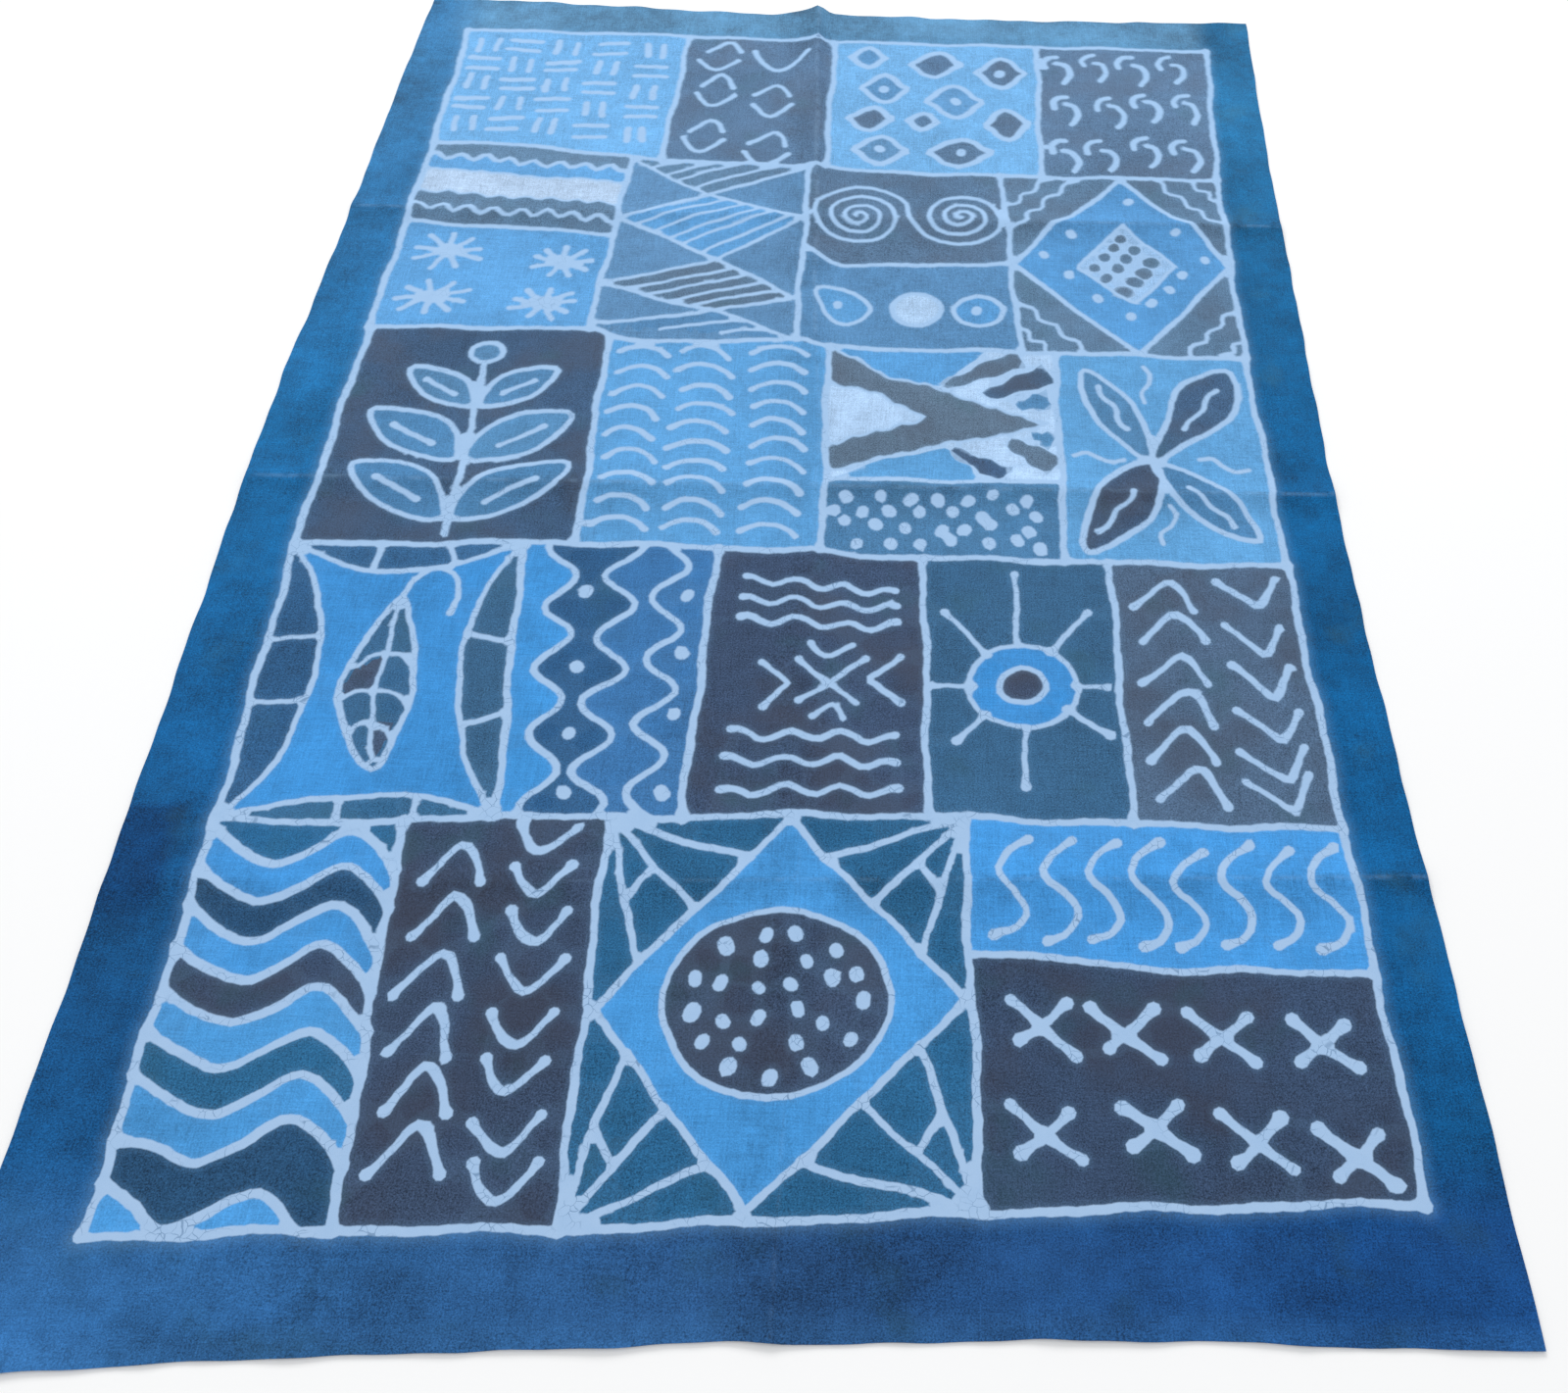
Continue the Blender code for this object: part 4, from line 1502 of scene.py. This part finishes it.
# colour of the painted highlight along the crease ridges
RIDGE_HIGHLIGHT = (0.330, 0.520, 0.760, 1.0)
CREEP = 0.0022  # how far the dye creeps along threads
CRACK_SCALE = 95.0
WEAVE_SCALE = 420.0
WEAVE_DEPTH = 0.0002
SLUB_SCALES = (450.0, 25.0)  # across and along a thick thread
print("weave", WEAVE_DEPTH * 1000, "mm deep")

# %% Cotton material


def cotton_material():
    """Indigo cotton, read from the sheet's own attributes."""
    material = bpy.data.materials.new("wax_dyed_cotton")
    material.use_nodes = True
    tree = material.node_tree
    shader = tree.nodes["Principled BSDF"]
    place = add_node(tree, "ShaderNodeTexCoord").outputs["Object"]
    spread = add_node(tree, "ShaderNodeSeparateXYZ", {0: place})

    def noise(scale, detail=2.0, rough=0.5, where=place):
        inputs = {"Vector": where, "Scale": scale, "Detail": detail, "Roughness": rough}
        return add_node(tree, "ShaderNodeTexNoise", inputs).outputs["Fac"]

    def ramp(value, low, high, bottom=0.0, top=1.0, smooth=True):
        kind = "SMOOTHSTEP" if smooth else "LINEAR"
        return add_node(tree, "ShaderNodeMapRange", {0: value, 1: low, 2: high, 3: bottom, 4: top},
                        interpolation_type=kind).outputs[0]

    def mixed(share, first, second):
        inputs = {0: share, 6: first, 7: second}
        return add_node(tree, "ShaderNodeMix", inputs, data_type="RGBA").outputs[2]

    def stretched(x, y):
        inputs = {"Vector": place, "Scale": (x, y, 1.0)}
        return add_node(tree, "ShaderNodeMapping", inputs).outputs[0]

    def step(operation, first, second, third=0.0):
        return calculate(tree, operation, first, second, third)

    toward_far = ramp(spread.outputs[1], -1.0, 1.1, smooth=False)

    # The dye, clouded
    dye_colour = add_node(tree, "ShaderNodeAttribute", attribute_name="dye").outputs["Color"]
    parts = add_node(tree, "ShaderNodeSeparateColor", {0: dye_colour}, mode="HSV")
    darkness = ramp(parts.outputs[2], 0.10, 0.60, 1.0, 0.0)
    greyness = step("MULTIPLY", darkness, ramp(parts.outputs[1], 0.84, 0.74, 0.0, 1.0))
    border = add_node(tree, "ShaderNodeAttribute", attribute_name="border").outputs["Fac"]
    smudge = add_node(tree, "ShaderNodeAttribute", attribute_name="smudge").outputs["Fac"]
    blotches = noise(34.0, 4.0, 0.65)
    warp_slub = noise(1.0, 2.0, 0.6, stretched(*SLUB_SCALES))
    weft_slub = noise(1.0, 2.0, 0.6, stretched(*SLUB_SCALES[::-1]))
    slubs = step("ADD", warp_slub, weft_slub)
    tone = step("MULTIPLY_ADD", step("SUBTRACT", slubs, 1.0), 0.45, 1.0)
    for pattern, where, gain, base in (
        (noise(5.0, 3.0, 0.6), border, 0.9, 0.7),  # clouds
        (blotches, border, 0.45, 0.5),
        (noise(550.0, 2.0, 0.8), darkness, 2.2, 1.1),  # grain
        (noise(200.0, 3.0, 0.7), toward_far, 0.5, 0.15),  # coarser grain
    ):
        strength = step("MULTIPLY_ADD", where, gain, base)
        tone = step("MULTIPLY_ADD", step("SUBTRACT", pattern, 0.5), strength, tone)
    # Painted shade beside the creases, in patches
    crease_shading = step("MULTIPLY", smudge, ramp(noise(9.0, 2.0), 0.36, 0.60, 0.04, 0.24))
    tone = step("MAXIMUM", step("SUBTRACT", tone, crease_shading), 0.35)
    clouded = add_node(tree, "ShaderNodeHueSaturation", {"Value": tone, "Color": dye_colour})
    brown = step("MULTIPLY", greyness, ramp(noise(8.0, 3.0), 0.42, 0.66, 0.0, 0.50))
    clouded = mixed(brown, clouded.outputs[0], mixed(toward_far, *BROWN_TONES))
    green = step("MULTIPLY", darkness, ramp(noise(11.0, 3.0), 0.54, 0.74, 0.0, 0.35))
    clouded = mixed(green, clouded, mixed(toward_far, *GREEN_TONES))

    # The wax, cracked
    creep = step("SUBTRACT", noise(120.0, 3.0, 0.6), 0.5)
    depth = add_node(tree, "ShaderNodeAttribute", attribute_name="resist").outputs["Fac"]
    depth = step("MULTIPLY_ADD", creep, CREEP, depth)
    softness = ramp(toward_far, 0.0, 1.0, 0.0010, 0.0034, smooth=False)
    kept_white = ramp(depth, step("MULTIPLY", softness, -1.0), softness)
    haze = ramp(depth, -0.008, -0.001, 0.0, 0.08)
    outer_haze = step("MULTIPLY", border, ramp(depth, -0.016, -0.002, 0.0, 0.09))
    clouded = mixed(step("ADD", haze, outer_haze), clouded, HAZE)
    sway = add_node(tree, "ShaderNodeTexNoise", {"Vector": place, "Scale": 90.0}).outputs["Color"]
    sway = add_node(tree, "ShaderNodeVectorMath", {0: sway, 1: (0.008, 0.008, 0.0)},
                    operation="MULTIPLY").outputs[0]
    bent = add_node(tree, "ShaderNodeVectorMath", {0: place, 1: sway}).outputs[0]
    cracks = add_node(tree, "ShaderNodeTexVoronoi", {"Vector": bent, "Scale": CRACK_SCALE},
                      feature="DISTANCE_TO_EDGE").outputs["Distance"]
    cracks = ramp(cracks, 0.008, 0.040, 1.0, 0.0)
    patchy = ramp(noise(21.0, 3.0), 0.47, 0.60)
    crack_strength = ramp(toward_far, 0.25, 0.75, 0.55, 0.15)
    cracks = step("MULTIPLY", step("MULTIPLY", cracks, patchy), crack_strength)
    undyed = mixed(toward_far, *WAXED_TONES)
    undyed = mixed(ramp(blotches, 0.35, 0.75, 0.0, 0.30), undyed, WAXED_BLOTCH)
    undyed = mixed(cracks, undyed, CRACK)
    colour = mixed(kept_white, clouded, undyed)

    # The creases, with a painted highlight along their ridges
    ridge_highlight = add_node(tree, "ShaderNodeAttribute", attribute_name="fold").outputs["Fac"]
    ridge_highlight = ramp(ridge_highlight, 0.25, 1.0, 0.0, 0.14)
    colour = mixed(step("MULTIPLY", ridge_highlight, ramp(blotches, 0.35, 0.60)), colour, RIDGE_HIGHLIGHT)
    tree.links.new(colour, shader.inputs["Base Color"])

    # The weave
    warp, weft = (
        add_node(tree, "ShaderNodeTexWave", {"Vector": place, "Scale": WEAVE_SCALE},
                 bands_direction=direction).outputs["Fac"] for direction in "XY")
    weave = step("MULTIPLY_ADD", slubs, 0.8, step("MAXIMUM", warp, weft))
    bump = add_node(tree, "ShaderNodeBump", {"Height": weave, "Strength": 0.25,
                                             "Distance": WEAVE_DEPTH})
    tree.links.new(bump.outputs[0], shader.inputs["Normal"])
    rough = ramp(blotches, 0.3, 0.7, 0.82, 0.92)
    tree.links.new(rough, shader.inputs["Roughness"])
    shader.inputs["Specular IOR Level"].default_value = 0.10
    shader.inputs["Sheen Weight"].default_value = 0.03
    shader.inputs["Sheen Roughness"].default_value = 0.5
    return material


cotton = cotton_material()
print(len(cotton.node_tree.nodes), "nodes in the cotton")

# %% [markdown]
# ## Creases by Geometry Nodes
#
# A crease follows a path, so a node tree raises it: for every point of the sheet it
# finds the nearest place on the path, reads how high the crease stands there, and lets
# the height fall off to nothing over a skirt on either side. The path is a thin guide
# object. The same tree is used four times, once for each crease, and each keeps the
# higher of what it finds and what it makes.

# %% Crease tree
FOLD_REACH = 0.008  # how far to each side of a crease the painted highlight reaches
FULL_HIGHLIGHT_HEIGHT = 0.004  # a crease this high or higher gets the full painted highlight


def crease_tree():
    """A node tree that lifts a sheet over one crease."""
    tree = bpy.data.node_groups.new("raise crease", "GeometryNodeTree")
    tree.is_modifier = True
    face = tree.interface
    face.new_socket("Geometry", in_out="INPUT", socket_type="NodeSocketGeometry")
    for name, kind in (("Crease", "Object"), ("Skirt before", "Float"), ("Skirt after", "Float"),
                       ("Across", "Vector"), ("Cotton", "Material")):
        face.new_socket(name, in_out="INPUT", socket_type=f"NodeSocket{kind}")
    face.new_socket("Geometry", in_out="OUTPUT", socket_type="NodeSocketGeometry")
    given = tree.nodes.new("NodeGroupInput").outputs

    def vector(operation, first, second):
        return add_node(tree, "ShaderNodeVectorMath", {0: first, 1: second}, operation=operation)

    guide = add_node(tree, "GeometryNodeObjectInfo", {"Object": given["Crease"]})
    guide = guide.outputs["Geometry"]
    place = add_node(tree, "GeometryNodeInputPosition").outputs[0]
    flat = vector("MULTIPLY", place, (1.0, 1.0, 0.0)).outputs[0]
    closest = add_node(tree, "GeometryNodeProximity", {0: guide, "Sample Position": flat},
                       target_element="EDGES")
    distance = closest.outputs["Distance"]
    away = vector("SUBTRACT", flat, closest.outputs["Position"]).outputs[0]
    side = vector("DOT_PRODUCT", away, given["Across"]).outputs["Value"]
    after = calculate(tree, "GREATER_THAN", side, 0.0)
    skirt = add_node(tree, "ShaderNodeMix", {0: after, 2: given["Skirt before"],
                                             3: given["Skirt after"]}).outputs[0]
    share = calculate(tree, "DIVIDE", distance, skirt, clamp=True)
    falloff = calculate(tree, "POWER", calculate(tree, "SUBTRACT", 1.0, share), 2.0)
    nearest = add_node(tree, "GeometryNodeSampleNearest", {0: guide, 1: flat}, domain="POINT")
    height = add_node(tree, "GeometryNodeInputNamedAttribute", {"Name": "height"},
                      data_type="FLOAT").outputs[0]
    height = add_node(tree, "GeometryNodeSampleIndex", {0: guide, 1: height,
                                                        "Index": nearest.outputs[0]},
                      data_type="FLOAT", domain="POINT").outputs[0]
    lift = calculate(tree, "MULTIPLY", height, falloff)
    parts = add_node(tree, "ShaderNodeSeparateXYZ", {0: place})
    raised = calculate(tree, "MAXIMUM", parts.outputs[2], lift)
    target = add_node(tree, "ShaderNodeCombineXYZ", {0: parts.outputs[0], 1: parts.outputs[1],
                                                     2: raised}).outputs[0]
    moved = add_node(tree, "GeometryNodeSetPosition", {"Geometry": given["Geometry"],
                                                       "Position": target}).outputs[0]
    # The fold attribute holds the share of painted highlight along the ridge; the higher share is
    # kept.
    before = add_node(tree, "GeometryNodeInputNamedAttribute", {"Name": "fold"},
                      data_type="FLOAT").outputs[0]
    closeness = calculate(tree, "SUBTRACT", 1.0, calculate(
        tree, "DIVIDE", distance, FOLD_REACH, clamp=True))
    strength = calculate(tree, "MULTIPLY", height, 1.0 / FULL_HIGHLIGHT_HEIGHT, clamp=True)
    ridge_highlight_share = calculate(tree, "MAXIMUM", before, calculate(tree, "MULTIPLY", closeness, strength))
    stored = add_node(tree, "GeometryNodeStoreNamedAttribute",
                      {"Geometry": moved, "Name": "fold", "Value": ridge_highlight_share},
                      data_type="FLOAT", domain="POINT").outputs[0]
    real = add_node(tree, "GeometryNodeRealizeInstances", {0: stored}).outputs[0]
    finished = add_node(tree, "GeometryNodeSetMaterial", {"Geometry": real,
                                                          "Material": given["Cotton"]}).outputs[0]
    add_node(tree, "NodeGroupOutput", {0: finished})
    return tree


raise_crease = crease_tree()
print(len(raise_crease.nodes), "nodes raise a crease")

# %% Use the crease tree


def use_tree(thing, name, tree, **values):
    """Puts a node tree on an object and sets its inputs by the sockets' identifiers."""
    modifier = thing.modifiers.new(name, "NODES")
    modifier.node_group = tree
    for item in tree.interface.items_tree:
        key = item.name.lower().replace(" ", "_")
        if item.in_out == "INPUT" and key in values:
            modifier[item.identifier] = values[key]
    return modifier


def guide_line(crease):
    """The path of a crease on the floor, with its height at each point."""
    floor_path = on_floor(crease.path)
    mesh = bpy.data.meshes.new("guide_" + crease.name)
    count = len(floor_path)
    mesh.from_pydata(np.column_stack([floor_path, np.zeros(count)]).tolist(),
                     [(i, i + 1) for i in range(count - 1)], [])
    height = mesh.attributes.new("height", "FLOAT", "POINT")
    height.data.foreach_set("value", crease.heights)
    guide = bpy.data.objects.new("guide_" + crease.name, mesh)
    bpy.context.collection.objects.link(guide)
    return guide


DIRECTIONS = {"x": (1.0, 0.0, 0.0), "y": (0.0, 1.0, 0.0)}
guides = []
for crease in creases:
    guide = guide_line(crease)
    guides.append(guide)
    use_tree(sheet, crease.name, raise_crease, crease=guide, skirt_before=crease.before,
             skirt_after=crease.after, across=DIRECTIONS[crease.across], cotton=cotton)
print(len(guides), "crease guides")

# %% [markdown]
# ## The sheet settles
#
# Between the creases cotton never lies dead flat. A second small tree adds a slow
# billow of about a millimetre, and lifts the rim here and there.

# %% Settle tree
BILLOW_HEIGHT = 0.0012
BILLOW_SIZE = 0.22
RIM_LIFT = 0.0022
RIM_WIDTH = 0.035
RIM_SCALE = 13.0
SETTLE_SEED = 3.0


def settle_tree():
    """A node tree that lets a sheet billow a little and lifts its rim."""
    tree = bpy.data.node_groups.new("settle cloth", "GeometryNodeTree")
    tree.is_modifier = True
    face = tree.interface
    face.new_socket("Geometry", in_out="INPUT", socket_type="NodeSocketGeometry")
    for name, kind in (("Billow height", "Float"), ("Billow size", "Float"), ("Rim lift", "Float"),
                       ("Rim width", "Float"), ("Seed", "Float"), ("Cotton", "Material")):
        face.new_socket(name, in_out="INPUT", socket_type=f"NodeSocket{kind}")
    face.new_socket("Geometry", in_out="OUTPUT", socket_type="NodeSocketGeometry")
    given = tree.nodes.new("NodeGroupInput").outputs
    place = add_node(tree, "GeometryNodeInputPosition").outputs[0]

    def seeded_noise(scale, detail):
        inputs = {"Vector": place, "W": given["Seed"], "Scale": scale, "Detail": detail}
        return add_node(tree, "ShaderNodeTexNoise", inputs, noise_dimensions="4D").outputs[0]

    slow = seeded_noise(calculate(tree, "DIVIDE", 1.0, given["Billow size"]), 1.5)
    slow = calculate(tree, "SUBTRACT", calculate(tree, "MULTIPLY", slow, 2.0), 0.65, clamp=True)
    lift = calculate(tree, "MULTIPLY", slow, given["Billow height"])
    rim = add_node(tree, "GeometryNodeInputNamedAttribute", {"Name": "rim"},
                   data_type="FLOAT").outputs[0]
    rim = calculate(tree, "SUBTRACT", 1.0, calculate(
        tree, "DIVIDE", rim, given["Rim width"], clamp=True), clamp=True)
    quick = seeded_noise(RIM_SCALE, 1.0)
    quick = calculate(tree, "SUBTRACT", calculate(tree, "MULTIPLY", quick, 3.0), 1.2, clamp=True)
    rim = calculate(tree, "MULTIPLY", calculate(tree, "MULTIPLY", rim, rim), quick)
    lift = calculate(tree, "MULTIPLY_ADD", rim, given["Rim lift"], lift)
    offset = add_node(tree, "ShaderNodeCombineXYZ", {2: lift}).outputs[0]
    moved = add_node(tree, "GeometryNodeSetPosition", {"Geometry": given["Geometry"],
                                                       "Offset": offset}).outputs[0]
    real = add_node(tree, "GeometryNodeRealizeInstances", {0: moved}).outputs[0]
    finished = add_node(tree, "GeometryNodeSetMaterial", {"Geometry": real,
                                                          "Material": given["Cotton"]}).outputs[0]
    add_node(tree, "NodeGroupOutput", {0: finished})
    return tree


use_tree(sheet, "settle", settle_tree(), billow_height=BILLOW_HEIGHT, billow_size=BILLOW_SIZE,
         rim_lift=RIM_LIFT, rim_width=RIM_WIDTH, seed=SETTLE_SEED, cotton=cotton)
print(len(sheet.modifiers), "trees on the sheet")

# %% [markdown]
# ## Thickness, and a plain mesh
#
# Last, the sheet gets its thickness. The result is turned into a plain mesh, and the
# flat sheet and its guides are removed. The plain mesh then takes the solid's place:
# it rides on the body named root and carries the cotton material, and the solid is hidden.

# %% Finished cloth
SHEET_THICKNESS = 0.0010
UNDER = 0.0002  # how far the sheet's underside stays off the floor
SHARP = 40  # degrees
thickness = sheet.modifiers.new("thickness", "SOLIDIFY")
thickness.thickness = SHEET_THICKNESS
thickness.offset = 1.0
worked_out = bpy.context.evaluated_depsgraph_get()
cloth_mesh = bpy.data.meshes.new_from_object(
    sheet.evaluated_get(worked_out), preserve_all_data_layers=True, depsgraph=worked_out)
cloth_mesh.transform(Matrix.Translation((0.0, 0.0, UNDER)))
for polygon in cloth_mesh.polygons:
    polygon.use_smooth = True
cloth_mesh.set_sharp_from_angle(angle=math.radians(SHARP))
cloth = bpy.data.objects.new("dyed_cloth", cloth_mesh)
bpy.context.collection.objects.link(cloth)
for extra in [sheet] + guides:
    bpy.data.objects.remove(extra, do_unlink=True)
triangles = sum(len(polygon.vertices) - 2 for polygon in cloth_mesh.polygons)
print("cloth has", triangles, "triangles and stands",
      round(max(vertex.co.z for vertex in cloth_mesh.vertices) * 1000, 1), "mm high")

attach(cloth, "root")
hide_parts("adire_cloth")

# %% [markdown]
# ## Floor and light
#
# The floor is plain and pale. The light is soft daylight: a wide panel beyond the far
# end, low enough to catch the creases, and an even sky for the rest.

# %% Floor
FLOOR_SIZE = 14.0
FLOOR_COLOUR = (0.96, 0.96, 0.96, 1.0)
FLOOR_ROUGHNESS = 0.9
FLOOR_SQUARE = ((-0.5, -0.5), (0.5, -0.5), (0.5, 0.5), (-0.5, 0.5))
floor_mesh = bpy.data.meshes.new("floor")
floor_mesh.from_pydata([(x * FLOOR_SIZE, y * FLOOR_SIZE, 0.0) for x, y in FLOOR_SQUARE], [],
                       [(0, 1, 2, 3)])
floor = bpy.data.objects.new("floor", floor_mesh)
bpy.context.collection.objects.link(floor)
floor_paint = bpy.data.materials.new("pale_floor")
floor_paint.use_nodes = True
floor_shader = floor_paint.node_tree.nodes["Principled BSDF"]
floor_shader.inputs["Base Color"].default_value = FLOOR_COLOUR
floor_shader.inputs["Roughness"].default_value = FLOOR_ROUGHNESS
floor_mesh.materials.append(floor_paint)
print("floor", FLOOR_SIZE, "m square")

# %% Light
SKY_COLOUR = (0.98, 0.99, 1.0, 1.0)
SKY_STRENGTH = 0.77
WINDOW_SIZE = (9.0, 4.0)
WINDOW_PLACE = (-1.5, 10.6, 5.4)
WINDOW_TILT = -63.0  # degrees
WINDOW_ENERGY = 1000.0
sky = bpy.data.worlds.new("sky")
bpy.context.scene.world = sky
sky.use_nodes = True
background = sky.node_tree.nodes["Background"]
background.inputs["Color"].default_value = SKY_COLOUR
background.inputs["Strength"].default_value = SKY_STRENGTH

window = bpy.data.objects.new("window", bpy.data.lights.new("window", "AREA"))
window.data.shape = "RECTANGLE"
window.data.size, window.data.size_y = WINDOW_SIZE
window.data.energy = WINDOW_ENERGY
window.matrix_world = Matrix.Translation(WINDOW_PLACE) @ turning(WINDOW_TILT, "X")
bpy.context.collection.objects.link(window)
bpy.context.scene.view_settings.view_transform = "Standard"
print("window", WINDOW_SIZE, "m,", WINDOW_ENERGY, "W")
